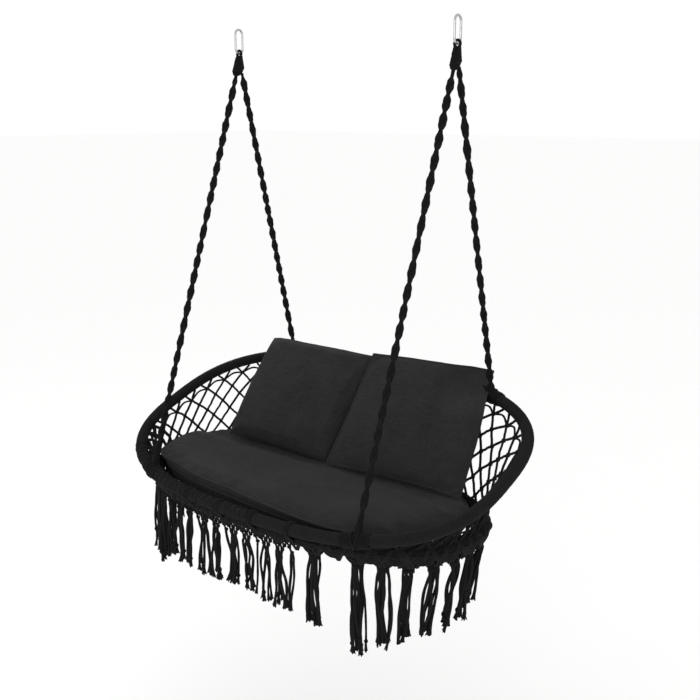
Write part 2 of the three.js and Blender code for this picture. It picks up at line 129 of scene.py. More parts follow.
class Oval:
    """The flat curve |x / half_x|^power + |y / half_y|^power = 1."""

    def __init__(self, half_x, half_y, power):
        self.half_x, self.half_y, self.power = half_x, half_y, power

    def point(self, angle):
        cos, sin = np.cos(angle), np.sin(angle)
        scale = (np.abs(cos) ** self.power + np.abs(sin) ** self.power) ** (-1 / self.power)
        return self.half_x * cos * scale, self.half_y * sin * scale

    def share(self, x, y):
        """How far out a point lies: 0 in the middle, 1 on the curve."""
        return (
            np.abs(x / self.half_x) ** self.power + np.abs(y / self.half_y) ** self.power
        ) ** (1 / self.power)

    def edge_y(self, x):
        return self.half_y * (1 - (abs(x) / self.half_x) ** self.power) ** (1 / self.power)

    def angle_of(self, x, y):
        return np.arctan2(y / self.half_y, x / self.half_x)


class Hoop(Oval):
    """A wrapped tube bent to an oval. Its run starts at the front and goes to the right."""

    def __init__(self, half_x, half_y, power, tube, centre, tilt=0.0):
        super().__init__(half_x, half_y, power)
        self.tube, self.centre = tube, np.array(centre)
        self.backward = np.array([0, math.cos(tilt), math.sin(tilt)])
        self.normal = np.array([0, -math.sin(tilt), math.cos(tilt)])
        self.angles = np.linspace(-math.pi / 2, 1.5 * math.pi, 6001)
        self.runs = runs_along(self.at(self.angles))
        self.length = self.runs[-1]

    def at(self, angle):
        x, y = self.point(angle)
        return np.stack([x, y * self.backward[1], y * self.backward[2]], -1) + self.centre

    def tangent(self, angle):
        return unit(self.at(angle + 1e-4) - self.at(angle - 1e-4))

    def angle(self, run):
        return np.interp(np.mod(run, self.length), self.runs, self.angles)

    def frame(self, run):
        """The point on the centre line and the outward direction in the hoop's plane."""
        angle = self.angle(run)
        return self.at(angle), np.cross(self.tangent(angle), self.normal)

    def run_of(self, angle):
        start = self.angles[0]
        return np.interp(np.mod(angle - start, 2 * math.pi) + start, self.angles, self.runs)

    def run_towards(self, x, y):
        """The run in the direction of x, y in the hoop's own plane."""
        return self.run_of(self.angle_of(x, y))

    def run_at_x(self, x, end):
        """The run at x, on the front (end -1) or the back (end 1)."""
        return self.run_towards(x, end * self.edge_y(x))

    def wrap(self, run, phase, radius):
        """Points round the tube, and the directions they stand in from its centre line."""
        point, outward = self.frame(run)
        radial = around(phase, outward, self.normal)
        return point + radial * np.reshape(radius, (-1, 1)), radial


# ------------------------------------------------------------------ main sizes

LIFT = 0.458  # height of the upper hoop's centre
TILT = math.radians(20)  # the upper hoop rises towards the back
LOWER_Y, LOWER_Z = -0.050, LIFT - 0.160
UPPER = Hoop(0.614, 0.375, 2.72, tube=0.017, centre=(0, 0, LIFT), tilt=TILT)
LOWER = Hoop(0.546, 0.272, 2.5, tube=0.0155, centre=(0, LOWER_Y, LOWER_Z))

HANG_X, HANG_Y = 0.382, 0.085  # place of the steel rings
LEG_MEET_Z = 1.057 + LIFT  # where the lines of a front and a back leg meet
LEG_CLEAR = 0.032  # a leg starts this far above the upper hoop's plane
LEG_END = 0.957  # and ends at this share of the way to the meeting point
RING_WIRE = 0.00325
RING_BEND = 0.014
RING_LOW, RING_HIGH = 1.0753 + LIFT, 1.1427 + LIFT

# ------------------------------------------------------------------ mesh building


class Bag:
    """Gathers swept cords and other strips of faces for one mesh."""

    def __init__(self):
        self.points, self.quads, self.tris = [], [], []
        self.quad_uvs, self.tri_uvs = [], []
        self.count = 0

    def add(self, points, quads, quad_uv, tris=None, tri_uv=None):
        self.quads.append(np.asarray(quads) + self.count)
        self.quad_uvs.append(np.reshape(quad_uv, (-1, 2)))
        if tris is not None:
            self.tris.append(np.asarray(tris) + self.count)
            self.tri_uvs.append(np.reshape(tri_uv, (-1, 2)))
        self.points.append(np.asarray(points, float))
        self.count += len(points)

    def sweep(self, path, toward, radius, sides=6, closed=False, flat=1.0, u_start=0.0):
        """A cord along path. The section's first axis points toward, scaled by flat."""
        path = np.asarray(path, float)
        count = len(path)
        if closed:
            tangent = np.roll(path, -1, 0) - np.roll(path, 1, 0)
        else:
            tangent = np.gradient(path, axis=0)
        tangent = unit(tangent)
        toward = np.broadcast_to(np.asarray(toward, float), path.shape)
        axis_1 = unit(toward - (toward * tangent).sum(1, keepdims=True) * tangent)
        axis_2 = np.cross(tangent, axis_1)
        radius = np.broadcast_to(radius, (count,))[:, None, None]
        section = around(full_turn(sides), axis_1[:, None] * flat, axis_2[:, None])
        points = (path[:, None] + radius * section).reshape(-1, 3)

        u = u_start + np.r_[runs_along(path), 0]
        u[-1] = u[-2] + np.linalg.norm(path[0] - path[-1])
        ring, side = np.divmod(np.arange((count if closed else count - 1) * sides), sides)
        ring_2, side_2 = (ring + 1) % count, (side + 1) % sides
        corners = ((ring, side), (ring, side_2), (ring_2, side_2), (ring_2, side))
        quads = np.stack([i * sides + j for i, j in corners], 1)
        u_1, u_2, v_1, v_2 = u[ring], u[ring + 1], side / sides, (side + 1) / sides
        quad_uv = np.stack([u_1, v_1, u_1, v_2, u_2, v_2, u_2, v_1], 1)
        if closed:
            self.add(points, quads, quad_uv)
            return

        # each end is closed by a fan of triangles round a middle point
        side = np.arange(sides)
        side_2 = (side + 1) % sides
        middle = np.full(sides, count * sides)
        last = (count - 1) * sides
        tris = np.r_[
            np.stack([middle, side_2, side], 1),
            np.stack([middle + 1, last + side, last + side_2], 1),
        ]
        tri_uv = np.zeros((2 * sides, 3, 2))
        tri_uv[:sides, :, 0], tri_uv[sides:, :, 0] = u[0], u[count - 1]
        tri_uv[:, 1, 1] = np.tile(side / sides, 2)
        tri_uv[:, 2, 1] = np.tile(side_2 / sides, 2)
        self.add(np.r_[points, path[:1], path[-1:]], quads, quad_uv, tris, tri_uv)

    def grid(self, points, uv=None):
        """Faces over a grid of points[i, j]."""
        rows, columns = points.shape[:2]
        if uv is None:
            uv = np.zeros((rows, columns, 2))
        i, j = np.divmod(np.arange((rows - 1) * (columns - 1)), columns - 1)
        corners = ((i, j), (i + 1, j), (i + 1, j + 1), (i, j + 1))
        quads = np.stack([row * columns + column for row, column in corners], 1)
        quad_uv = np.stack([uv[corner] for corner in corners], 1)
        self.add(points.reshape(-1, 3), quads, quad_uv)

    def ball(self, centre, radius, axis, segments, rings, squash):
        """A rounded knot, scaled by squash along axis."""
        axis = unit(axis)
        side_1 = unit(np.cross(axis, RIGHT if abs(axis[0]) < 0.9 else BACK))
        side_2 = np.cross(axis, side_1)
        pole = radius * squash * axis
        points = [centre + pole]
        for polar in math.pi * np.arange(1, rings) / rings:
            level = around(full_turn(segments), side_1, side_2) * math.sin(polar)
            points.extend(centre + radius * (squash * math.cos(polar) * axis + level))
        points.append(centre - pole)
        quads, tris = [], []
        last = 1 + (rings - 2) * segments
        for k in range(segments):
            after = (k + 1) % segments
            tris.append([0, 1 + k, 1 + after])
            tris.append([len(points) - 1, last + after, last + k])
            for ring in range(rings - 2):
                upper = 1 + ring * segments
                lower = upper + segments
                quads.append([upper + k, lower + k, lower + after, upper + after])
        quad_uv, tri_uv = np.zeros((len(quads), 4, 2)), np.zeros((len(tris), 3, 2))
        self.add(np.array(points), quads, quad_uv, tris, tri_uv)

    def object(self, name, material, smooth=True):
        mesh = bpy.data.meshes.new(name)
        points = np.concatenate(self.points)
        quads = np.concatenate(self.quads)
        tris = np.concatenate(self.tris) if self.tris else np.zeros((0, 3), int)
        mesh.vertices.add(len(points))
        mesh.vertices.foreach_set("co", points.astype(np.float32).ravel())
        loops = np.r_[quads.ravel(), tris.ravel()]
        mesh.loops.add(len(loops))
        mesh.loops.foreach_set("vertex_index", loops.astype(np.int32))
        sizes = np.r_[np.full(len(quads), 4), np.full(len(tris), 3)]
        mesh.polygons.add(len(sizes))
        starts = np.cumsum(sizes) - sizes
        mesh.polygons.foreach_set("loop_start", starts.astype(np.int32))
        mesh.polygons.foreach_set("loop_total", sizes.astype(np.int32))
        uv_map = mesh.uv_layers.new(name="UVMap")
        uvs = np.concatenate(self.quad_uvs + self.tri_uvs)
        uv_map.data.foreach_set("uv", uvs.astype(np.float32).ravel())
        mesh.update(calc_edges=True)
        mesh.validate()
        if smooth:
            mesh.polygons.foreach_set("use_smooth", np.ones(len(mesh.polygons), bool))
        mesh.materials.append(material)
        made = bpy.data.objects.new(name, mesh)
        bpy.context.scene.collection.objects.link(made)
        return made


def assign(made, body, replaced=None):
    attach(made, body)
    if replaced:
        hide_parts(replaced)


# ------------------------------------------------------------------ materials


class Shader:
    """A new material, with short ways to make and link its nodes."""

    def __init__(self, name):
        self.material = bpy.data.materials.new(name)
        self.material.use_nodes = True
        self.tree = self.material.node_tree

    def feed(self, node, inputs):
        """Links or sets the inputs of a node."""
        for key, value in inputs.items():
            if isinstance(value, bpy.types.NodeSocket):
                self.tree.links.new(value, node.inputs[key])
            else:
                node.inputs[key].default_value = value

    def node(self, kind, inputs, **settings):
        """Makes a node and returns its outputs."""
        node = self.tree.nodes.new("ShaderNode" + kind)
        for key, value in settings.items():
            setattr(node, key, value)
        self.feed(node, inputs)
        return node.outputs

    def math(self, operation, *values, clamp=False):
        inputs = dict(enumerate(values))
        return self.node("Math", inputs, operation=operation, use_clamp=clamp)[0]

    def add(self, first, second, clamp=False):
        return self.math("ADD", first, second, clamp=clamp)

    def times(self, value, factor):
        return self.math("MULTIPLY", value, factor)

    def uv(self):
        return self.node("UVMap", {}, uv_map="UVMap")["UV"]

    def place(self):
        return self.node("TexCoord", {})["Object"]

    def stretch(self, vector, scale):
        return self.node("Mapping", {"Scale": scale, "Vector": vector})["Vector"]

    def noise(self, scale, detail, roughness, vector=None):
        inputs = {
            "Scale": scale,
            "Detail": detail,
            "Roughness": roughness,
            "Vector": vector or self.place(),
        }
        return self.node("TexNoise", inputs)["Fac"]

    def ramp(self, value, low, low_colour, high, high_colour):
        node = self.tree.nodes.new("ShaderNodeValToRGB")
        stops = ((low, low_colour), (high, high_colour))
        for element, (position, colour) in zip(node.color_ramp.elements, stops):
            element.position = position
            element.color = (*colour, 1)
        self.feed(node, {"Fac": value})
        return node.outputs["Color"]

    def bump(self, height, strength, distance, below=None):
        inputs = {"Strength": strength, "Distance": distance, "Height": height}
        if below:
            inputs["Normal"] = below
        return self.node("Bump", inputs)["Normal"]

    def surface(self, inputs):
        """Sets the inputs of the surface and returns the finished material."""
        self.feed(next(n for n in self.tree.nodes if n.type == "BSDF_PRINCIPLED"), inputs)
        return self.material


def soft_sheen(specular, weight, roughness, tint):
    return {
        "Specular IOR Level": specular,
        "Sheen Weight": weight,
        "Sheen Roughness": roughness,
        "Sheen Tint": (tint, tint, tint, 1),
    }


def cord_material(name, dark, light, ply_pitch, bump=0.35):
    """Twisted cotton cord: slanting plies along the cord, fine fuzz, uneven dye, painted
    shade in the ply grooves.
    """
    plies = 3
    shader = Shader(name)
    uv = shader.node("SeparateXYZ", {"Vector": shader.uv()})
    along = shader.times(uv["X"], 2 * math.pi / ply_pitch)
    turn = shader.add(along, shader.times(uv["Y"], 2 * math.pi * plies))
    ply = shader.math("ABSOLUTE", shader.math("SINE", shader.times(turn, 0.5)))
    fuzz = shader.noise(scale=900, detail=2.0, roughness=0.6)
    dye = shader.noise(scale=22, detail=3.0, roughness=0.6)
    # the ply wave darkens the colour in the grooves between plies: painted shade
    mix = shader.add(shader.times(ply, 0.55), shader.times(dye, 0.45))
    mix = shader.add(mix, shader.times(shader.math("SUBTRACT", fuzz, 0.5), 0.35), clamp=True)
    colour = shader.ramp(mix, 0.1, dark, 0.95, light)
    height = shader.add(ply, shader.times(fuzz, 0.5))
    return shader.surface({
        "Base Color": colour,
        "Normal": shader.bump(height, strength=bump, distance=0.0009),
        "Roughness": shader.add(shader.times(fuzz, 0.12), 0.82, clamp=True),
        **soft_sheen(specular=0.08, weight=0.03, roughness=0.6, tint=0.6),
    })


def cloth_material(name, dark, light):
    """Plain weave cloth: fine crossing threads, soft slubs, a faint mottle and faint painted
    shade between the threads.
    """
    thread = 0.0011
    shader = Shader(name)
    place, uv = shader.place(), shader.uv()
    axes = shader.node("SeparateXYZ", {"Vector": uv})
    weave = shader.times(*[
        shader.math("SINE", shader.times(axes[axis], 2 * math.pi / thread)) for axis in "XY"
    ])
    # slubs are noise drawn out along one thread direction
    slub_x = shader.noise(1.0, 2.0, 0.5, shader.stretch(uv, (20, 430, 1)))
    slub_y = shader.noise(1.0, 2.0, 0.5, shader.stretch(uv, (430, 24, 1)))
    mottle = shader.noise(scale=9, detail=4.0, roughness=0.62, vector=place)
    slubs = shader.add(shader.times(slub_x, 0.46), shader.times(slub_y, 0.28))
    mix = shader.add(shader.times(mottle, 0.26), slubs)
    # the weave darkens the colour a little between the crossing threads: painted shade
    mix = shader.add(mix, shader.times(weave, 0.06), clamp=True)
    colour = shader.ramp(mix, 0.34, dark, 0.66, light)
    height = shader.add(shader.times(weave, 0.5), shader.add(slub_x, slub_y))
    fine = shader.bump(height, strength=0.3, distance=0.0004)
    broad = shader.noise(scale=14, detail=3.0, roughness=0.5, vector=place)
    return shader.surface({
        "Base Color": colour,
        "Normal": shader.bump(broad, strength=0.25, distance=0.004, below=fine),
        "Roughness": 0.9,
        **soft_sheen(specular=0.1, weight=0.04, roughness=0.5, tint=0.7),
    })


def steel_material():
    """Bright steel, a little uneven, with fine scratches."""
    shader = Shader("ring_steel")
    tone = shader.noise(scale=60, detail=4.0, roughness=0.6)
    scratch = shader.noise(1.0, 2.0, 0.5, shader.stretch(shader.place(), (40, 900, 900)))
    return shader.surface({
        "Base Color": shader.ramp(tone, 0.2, (0.36, 0.365, 0.37), 0.8, (0.52, 0.525, 0.53)),
        "Roughness": shader.add(shader.times(scratch, 0.18), 0.16),
        "Metallic": 1.0,
        "Normal": shader.bump(scratch, strength=0.08, distance=0.0003),
    })


def plain_material(name, colour, roughness, scale):
    """One colour, 15 % darker and lighter in grains, with a matching roughness."""
    shader = Shader(name)
    grain = shader.noise(scale=scale, detail=3.0, roughness=0.55)
    dark, light = [tuple(c * tone for c in colour) for tone in (0.85, 1.15)]
    return shader.surface({
        "Base Color": shader.ramp(grain, 0.25, dark, 0.75, light),
        "Roughness": shader.add(shader.times(grain, 0.2), roughness - 0.1, clamp=True),
        "Normal": shader.bump(grain, strength=0.15, distance=0.0004),
    })


WRAP = cord_material("wrap_cord", (0.0052, 0.0051, 0.0050), (0.0130, 0.0128, 0.0126), 0.006)
ROPE = cord_material("rope_cord", (0.0022, 0.0022, 0.0023), (0.0078, 0.0078, 0.0079), 0.006)
NET = cord_material("net_cord", (0.0035, 0.0035, 0.0036), (0.0105, 0.0105, 0.0106), 0.007)
FRINGE = cord_material(
    "fringe_cord", (0.0025, 0.0025, 0.0026), (0.0085, 0.0085, 0.0086), 0.008
)
CLOTH = cloth_material("cushion_cloth", (0.0100, 0.0101, 0.0103), (0.0250, 0.0252, 0.0255))
PIPING = cord_material(
    "cushion_piping", (0.014, 0.0143, 0.0145), (0.027, 0.0275, 0.028), 0.004, bump=0.15
)
STEEL = steel_material()
TUBE = plain_material("frame_tube", (0.02, 0.02, 0.021), roughness=0.45, scale=300)
FOAM = plain_material("seat_foam", (0.70, 0.66, 0.52), roughness=0.95, scale=400)
FIBRE = plain_material("cushion_fibre", (0.8, 0.8, 0.77), roughness=0.95, scale=250)
ZIP = plain_material("zip_tape", (0.01, 0.01, 0.0105), roughness=0.6, scale=600)


def cad_material(name):
    if name.endswith(("_tube", "_spigot")):
        return TUBE
    if name.endswith("_foam"):
        return FOAM
    if name.endswith("_filling"):
        return FIBRE
    if name.endswith("_zip"):
        return ZIP
    if name.startswith("hanging_ring"):
        return STEEL
    return CLOTH if name.endswith("_cover") else ROPE


for name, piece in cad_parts.items():
    piece.data.materials.clear()
    piece.data.materials.append(cad_material(name))

# ------------------------------------------------------------------ hoop windings


def wound(bag, hoop, start, end, radius, cord, pitch, per_turn, sides, closed=False):
    """Cord wound slightly unevenly round the hoop, from run start to run end."""
    turns = int(round((end - start) / pitch))
    share, phase = coil(turns, per_turn)
    if closed:
        share, phase = share[:-1], phase[:-1]
    uneven = np.interp(share * turns, np.arange(turns + 2), rng.normal(0, 1, turns + 2))
    path = hoop.wrap(start + (end - start) * share, phase, radius * (1 + 0.012 * uneven))
    bag.sweep(*path, cord, sides, closed=closed)


def hoop_winding(hoop, label, material):
    """Close turns of cord over a smooth core."""
    cord = 0.0027
    bag = Bag()
    point, outward = hoop.frame(hoop.length * np.arange(260) / 260)
    bag.sweep(point, outward, hoop.tube - 2.1 * cord + 0.0008, 12, closed=True)
    radius = hoop.tube - cord + 0.0002
    wound(bag, hoop, 0, hoop.length, radius, cord, 0.0050, per_turn=13, sides=6, closed=True)
    made = bag.object(f"{label}_hoop_winding", material)
    assign(made, "chair", f"{label}_hoop_wrap")


def hoop_ridges():
    """Ridges that cross over the winding, along the left of the upper hoop's front."""
    pitch, cord = 0.046, 0.0020
    start = UPPER.run_at_x(-0.525, -1)
    end = UPPER.run_at_x(0.060, -1) + UPPER.length
    turns = int((end - start) / pitch)
    share, phase = coil(turns, 26)
    bag = Bag()
    for hand in (-1, 1):
        for offset in (0.0, 0.5):
            uneven = rng.normal(0, 1, turns + 2)
            uneven = np.interp(share * turns, np.arange(turns + 2), uneven)
            run = start + (end - start) * share + 0.0050 * uneven
            angle = hand * (phase + 2 * math.pi * offset) + 0.55 * uneven
            radius = UPPER.tube - 0.0006 + 0.0012 * np.abs(np.sin(phase + offset))
            bag.sweep(*UPPER.wrap(run, angle, radius), cord)
    assign(bag.object("upper_hoop_ridges", WRAP), "chair")


hoop_winding(UPPER, "upper", WRAP)
hoop_winding(LOWER, "lower", NET)
hoop_ridges()

# ------------------------------------------------------------------ rope lashings

LASHING_CORD = 0.0024


def leg_line(side, end):
    """A leg's foot on the hoop's centre line, its lower end and its top."""
    foot = UPPER.at(UPPER.angle_of(side * HANG_X, end * UPPER.edge_y(HANG_X)))
    way = np.array([side * HANG_X, HANG_Y, LEG_MEET_Z]) - foot
    return foot, foot + way * (LEG_CLEAR / (way @ UPPER.normal)), foot + way * LEG_END


def leg_lashing(side, side_name, end, end_name):
    run = UPPER.run_at_x(side * HANG_X, end)
    half = 0.038
    bag = Bag()
    wound(
        bag, UPPER, run - half, run + half, radius=0.0184, cord=LASHING_CORD,
        pitch=0.0047, per_turn=18, sides=7,
    )
    # two crossing turns over the winding, under the knot
    phase = full_turn(40)
    for hand in (-1, 1):
        path = UPPER.wrap(run + hand * 0.010 * np.sin(phase), phase, 0.0215)
        bag.sweep(*path, LASHING_CORD, 7, closed=True)
    # the knot the leg stands in: stacked turns round a stem, rounding over at the top
    foot, low, top = leg_line(side, end)
    axis = unit(top - low)
    side_1 = unit(np.cross(axis, RIGHT))
    base = foot + axis * 0.016
    reach = np.linalg.norm(low - base) + 0.006
    share, phase = coil(6, 16)
    radius = 0.0085 * np.sqrt(np.clip(1 - ((share - 0.35) / 0.85) ** 2, 0.05, 1))
    radial = around(phase, side_1, np.cross(axis, side_1))
    stack = base + axis * (share * reach)[:, None] + radial * radius[:, None]
    bag.sweep(stack, radial, 0.0030, 7)
    bag.sweep(np.linspace(base, low + axis * 0.002, 6), side_1, 0.0065, 10)
    made = bag.object(f"lashing_{end_name}_{side_name}_cord", ROPE)
    assign(made, "chair", f"rope_lashing_{end_name}_{side_name}")


def front_lashing(number, x):
    """Four turns of cord round both hoops together."""
    radius, width, turns = 0.0186, 0.015, 4
    flat = np.array([0, 1.0, 1.0])
    upper, lower = [hoop.frame(hoop.run_at_x(x, -1))[0] * flat for hoop in (UPPER, LOWER)]
    span = np.linalg.norm(lower - upper)
    down = unit(lower - upper)
    across = np.array([0, -down[2], down[1]])
    # each turn is two equal halves: a straight, then half a circle round a hoop
    half = span + math.pi * radius
    share, _ = coil(turns, 40)
    run = (share * turns + 0.1) % 1.0 * 2 * half
    second = run >= half
    run = run - half * second
    second = second[:, None]
    sign = np.where(second, -1, 1)
    normal = sign * around(np.maximum(run - span, 0) / radius, across, down)
    straight = sign * down * np.minimum(run, span)[:, None]
    path = np.where(second, lower, upper) + straight + normal * radius
    path[:, 0] += x + width * (share - 0.5)
    bag = Bag()
    bag.sweep(path, normal, LASHING_CORD)
    made = bag.object(f"front_lashing_{number}_cord", ROPE)
    assign(made, "chair", f"front_lashing_{number}")


for side, side_name in SIDES:
    for end, end_name in ENDS:
        leg_lashing(side, side_name, end, end_name)
for number, x in enumerate((-0.190, -0.062, 0.062, 0.190), 1):
    front_lashing(number, x)

# ------------------------------------------------------------------ knotting helpers

NET_CORD = 0.0030
STRAND_OFFSET = 0.0027  # each of two side-by-side cords lies this far from their middle


def tie(bag, run, lift=0.0004, cord=NET_CORD):
    """A lark's head: two turns side by side round the lower hoop."""
    phase = full_turn(18)
    for k in (-1, 1):
        runs = run + k * cord * 1.05 + 0.0006 * np.sin(phase)
        bag.sweep(*LOWER.wrap(runs, phase, LOWER.tube + lift), cord * 0.95, closed=True)


def cord_run(bag, start, end, out, cord, bow=0.0, count=6):
    """A slightly uneven cord, bowed outward by bow."""
    f = np.linspace(0, 1, count)[:, None]
    path = start + (end - start) * f + out * (4 * f * (1 - f) * bow)
    path[1:-1] += rng.normal(0, 0.0004, (count - 2, 3))
    bag.sweep(path, out, cord, u_start=rng.random() * 0.02)


def band_run(bag, start, end, out, cord, bow):
    """Two cords side by side, drawn together at the knots."""
    out = unit(out)
    side = unit(np.cross(out, unit(end - start)))
    f = np.linspace(0, 1, 8)[:, None]
    gap = 0.0026 * (0.55 + 0.45 * np.sin(math.pi * f) ** 0.6)
    for k in (-1, 1):
        path = start + (end - start) * f + out * (4 * f * (1 - f) * bow) + side * k * gap
        path[1:-1] += rng.normal(0, 0.0003, (6, 3))
        bag.sweep(path, out, cord, u_start=rng.random() * 0.02)


def knot(bag, point, out, size, along=UP):
    """A flat half knot: two small crossing wraps over a core."""
    out = unit(out)
    across = unit(np.cross(out, along))
    bag.ball(point, size * 0.72, out, segments=7, rings=4, squash=0.75)
    for hand in (-1, 1):
        slant = unit(across + hand * 0.55 * along)
        offset = around(full_turn(12), slant * 0.9, out * 0.8) * size
        bag.sweep(point + offset, unit(offset), NET_CORD * 0.72, 5, closed=True)


def jitter():
    return rng.normal(0, 0.0015, 3)


# ------------------------------------------------------------------ side net

COLUMNS = 46
COLUMN = UPPER.length / COLUMNS
ROW = 0.036
FIRST_ROW = 0.026  # depth of the first row of knots below the upper hoop
ROWS = 12
SINGLE_CORD = 0.0038
LEAST_HEIGHT = 0.075  # a lower net is a single row of crosses
EDGE_CLEAR = 0.006  # knots keep this far above the net's lower edge
SKIRT_REACH = 0.42  # columns that a skirt band runs sideways


def net_point(column, down):
    """A point of the side net, down metres below the upper hoop.

    Returns the point, the height of the net there, and the outward direction.
    """
    angle = UPPER.angle(column * COLUMN)
    upper, lower = UPPER.at(angle), LOWER.at(angle)
    upper_way, lower_way = UPPER.tangent(angle), LOWER.tangent(angle)
    span = upper - lower
    bottom = lower + unit(span - (span @ lower_way) * lower_way) * (LOWER.tube - 0.001)
    top = upper - unit(span - (span @ upper_way) * upper_way) * (UPPER.tube - 0.001)
    height = np.linalg.norm(top - bottom)
    out = unit(np.cross(lower_way + upper_way, span))
    share = min(max(1 - down / height, 0), 1)
    hollow = 4 * share * (1 - share) * min(0.085 * np.linalg.norm(span), 0.024)
    return bottom + (top - bottom) * share - out * hollow, height, out


def lower_run(column):
    return LOWER.run_of(UPPER.angle(column * COLUMN))


def dense(point):
    """Where the net is knotted from doubled cords: the front and the right-hand end."""
    return point[1] < -0.13 or (point[0] > 0.30 and point[1] < 0.06)


class SideNet:
    """Knotted diamonds between the hoops, and the skirt of bands over the lower hoop."""

    def __init__(self):
        self.bag, self.skirt = Bag(), Bag()
        self.nodes = {}
        self.ties = []

    def node(self, half_column, row):
        """The knot's place, moved a little at random the first time it is asked for."""
        key = (half_column % (2 * COLUMNS), row)
        if key not in self.nodes:
            point, height, out = net_point(key[0] / 2, FIRST_ROW + row * ROW)
            self.nodes[key] = (point + jitter(), height, out)
        return self.nodes[key]

    def skirt_band(self, column, hand):
        """A band from the lower hoop's upper side, round its outer face, to below it."""
        f = np.linspace(0, 1, 12)
        phase = np.radians(np.interp(f, [0, 0.75, 1], [75, -55, -72]))
        loose = np.clip((f - 0.7) / 0.3, 0, 1)
        run = lower_run(column) + hand * SKIRT_REACH * f * COLUMN
        path, radial = LOWER.wrap(run, phase, LOWER.tube + 0.0036 + 0.004 * loose)
        path[:, 2] -= 0.010 * loose
        side = unit(np.cross(radial, unit(np.gradient(path, axis=0))))
        for k in (-1, 1):
            strand = path + side * k * STRAND_OFFSET
            self.skirt.sweep(strand, radial, NET_CORD, u_start=rng.random())

    def low_cross(self, column, height, out):
        """A cross between the hoops, where they come close at the front."""
        middle = net_point(column, height * 0.5)[0]
        knot(self.bag, middle, out, 0.0062)
        for k in (-1, 1):
            beside = column + k * 0.5
            top, bottom = net_point(beside, 0.0)[0], net_point(beside, height)[0]
            band_run(self.bag, top, middle, out, NET_CORD, 0.001)
            band_run(self.bag, middle, bottom, out, NET_CORD, 0.002)
            self.skirt_band(beside, k)
            self.ties.append(lower_run(column + k * 0.47))

    def mesh_knot(self, half_column, row):
        """A knot, the two cords below it and, in the first row, the cords above it."""
        point, height, out = self.node(half_column, row)
        down = FIRST_ROW + row * ROW
        doubled = dense(point)
        run = band_run if doubled else cord_run
        cord = NET_CORD if doubled else SINGLE_CORD
        knot(self.bag, point, out, 0.0062 if doubled else 0.0056)
        if row == 0:
            for k in (-0.3, 0.3):
                run(self.bag, net_point(half_column / 2 + k, 0.0)[0], point, out, cord, 0.001)
            if not doubled:
                # a cord from knot to knot along the top, bowed up towards the hoop
                after, after_height, _ = self.node(half_column + 2, 0)
                if not dense(after) and after_height > LEAST_HEIGHT:
                    middle = net_point(half_column / 2 + 0.5, 0.015)[0]
                    path = smooth_path([point, middle, after], 12)
                    self.bag.sweep(path, out, SINGLE_CORD * 0.85)
        for k in (-1, 1):
            below, below_height, _ = self.node(half_column + k, row + 1)
            if down + ROW < below_height - EDGE_CLEAR:
                run(self.bag, point, below, out, cord, -0.0008)
                continue
            share = min(max((height - down) / ROW, 0.1), 1.3)
            column = (half_column + k * share) / 2
            edge = net_point(column, math.inf)[0]
            run(self.bag, point, edge, out, cord, 0.001)
            if doubled:
                self.skirt_band(column, k)
            self.ties.append(lower_run(column))

    def backing_bands(self, column):
        """Two crossing bands behind the doubled cords, which close most of the gaps."""
        top, height, _ = net_point(column, 0.0)
        if not dense(top) or not dense(net_point(column, height)[0]):
            return
        for hand, depth in ((-1, 0.0045), (1, 0.0065)):
            points, outs = [], []
            for f in np.linspace(0, 1, 9):
                here = column + hand * height / COLUMN * f
                point, _, out = net_point(here, net_point(here, 0.0)[1] * f)
                points.append(point - out * depth)
                outs.append(out)
            points = np.array(points) + rng.normal(0, 0.0008, (9, 3))
            out = unit(np.mean(outs, axis=0))
            side = unit(np.cross(out, unit(points[-1] - points[0])))
            for k in (-1, 1):
                path = smooth_path(points + side * k * STRAND_OFFSET, 14)
                self.bag.sweep(path, out, NET_CORD, u_start=rng.random())

    def build(self):
        for half_column in range(2 * COLUMNS):
            for row in range(half_column % 2, ROWS, 2):
                _, height, out = self.node(half_column, row)
                if height < LEAST_HEIGHT:
                    if row == 0:
                        self.low_cross(half_column / 2, height, out)
                elif FIRST_ROW + row * ROW <= height - EDGE_CLEAR:
                    self.mesh_knot(half_column, row)
        for half_column in range(2 * COLUMNS):
            self.backing_bands(half_column / 2 + 0.25)
        for run in self.ties:
            tie(self.bag, run)
        assign(self.bag.object("side_net_cords", NET), "chair", "side_net")
        assign(self.skirt.object("skirt_lattice_cords", WRAP), "chair")


SideNet().build()

# ------------------------------------------------------------------ seat net

CELL = 0.037
SAG = 0.036
SEAT_NET = Oval(LOWER.half_x - 0.015, LOWER.half_y - 0.015, LOWER.power)
SEAT_NET_EDGE = 0.97  # knots lie inside this share of the way out
# cords round the net's edge: distance in from the hoop's centre line, depth below it
EDGE_CORDS = ((0.022, 0.001), (0.0275, 0.0035), (0.033, 0.0065), (0.041, 0.0105))


def seat_share(x, y):
    return SEAT_NET.share(x, y - LOWER_Y)


def edge_reach(x, y, i, j):
    """The share of a cell's diagonal at which it meets the net's edge."""
    inside, outside = 0.0, 1.0
    for _ in range(18):
        middle = (inside + outside) / 2
        if seat_share(x + i * CELL * middle, y + j * CELL * middle) < 1.0:
            inside = middle
        else:
            outside = middle
    return inside


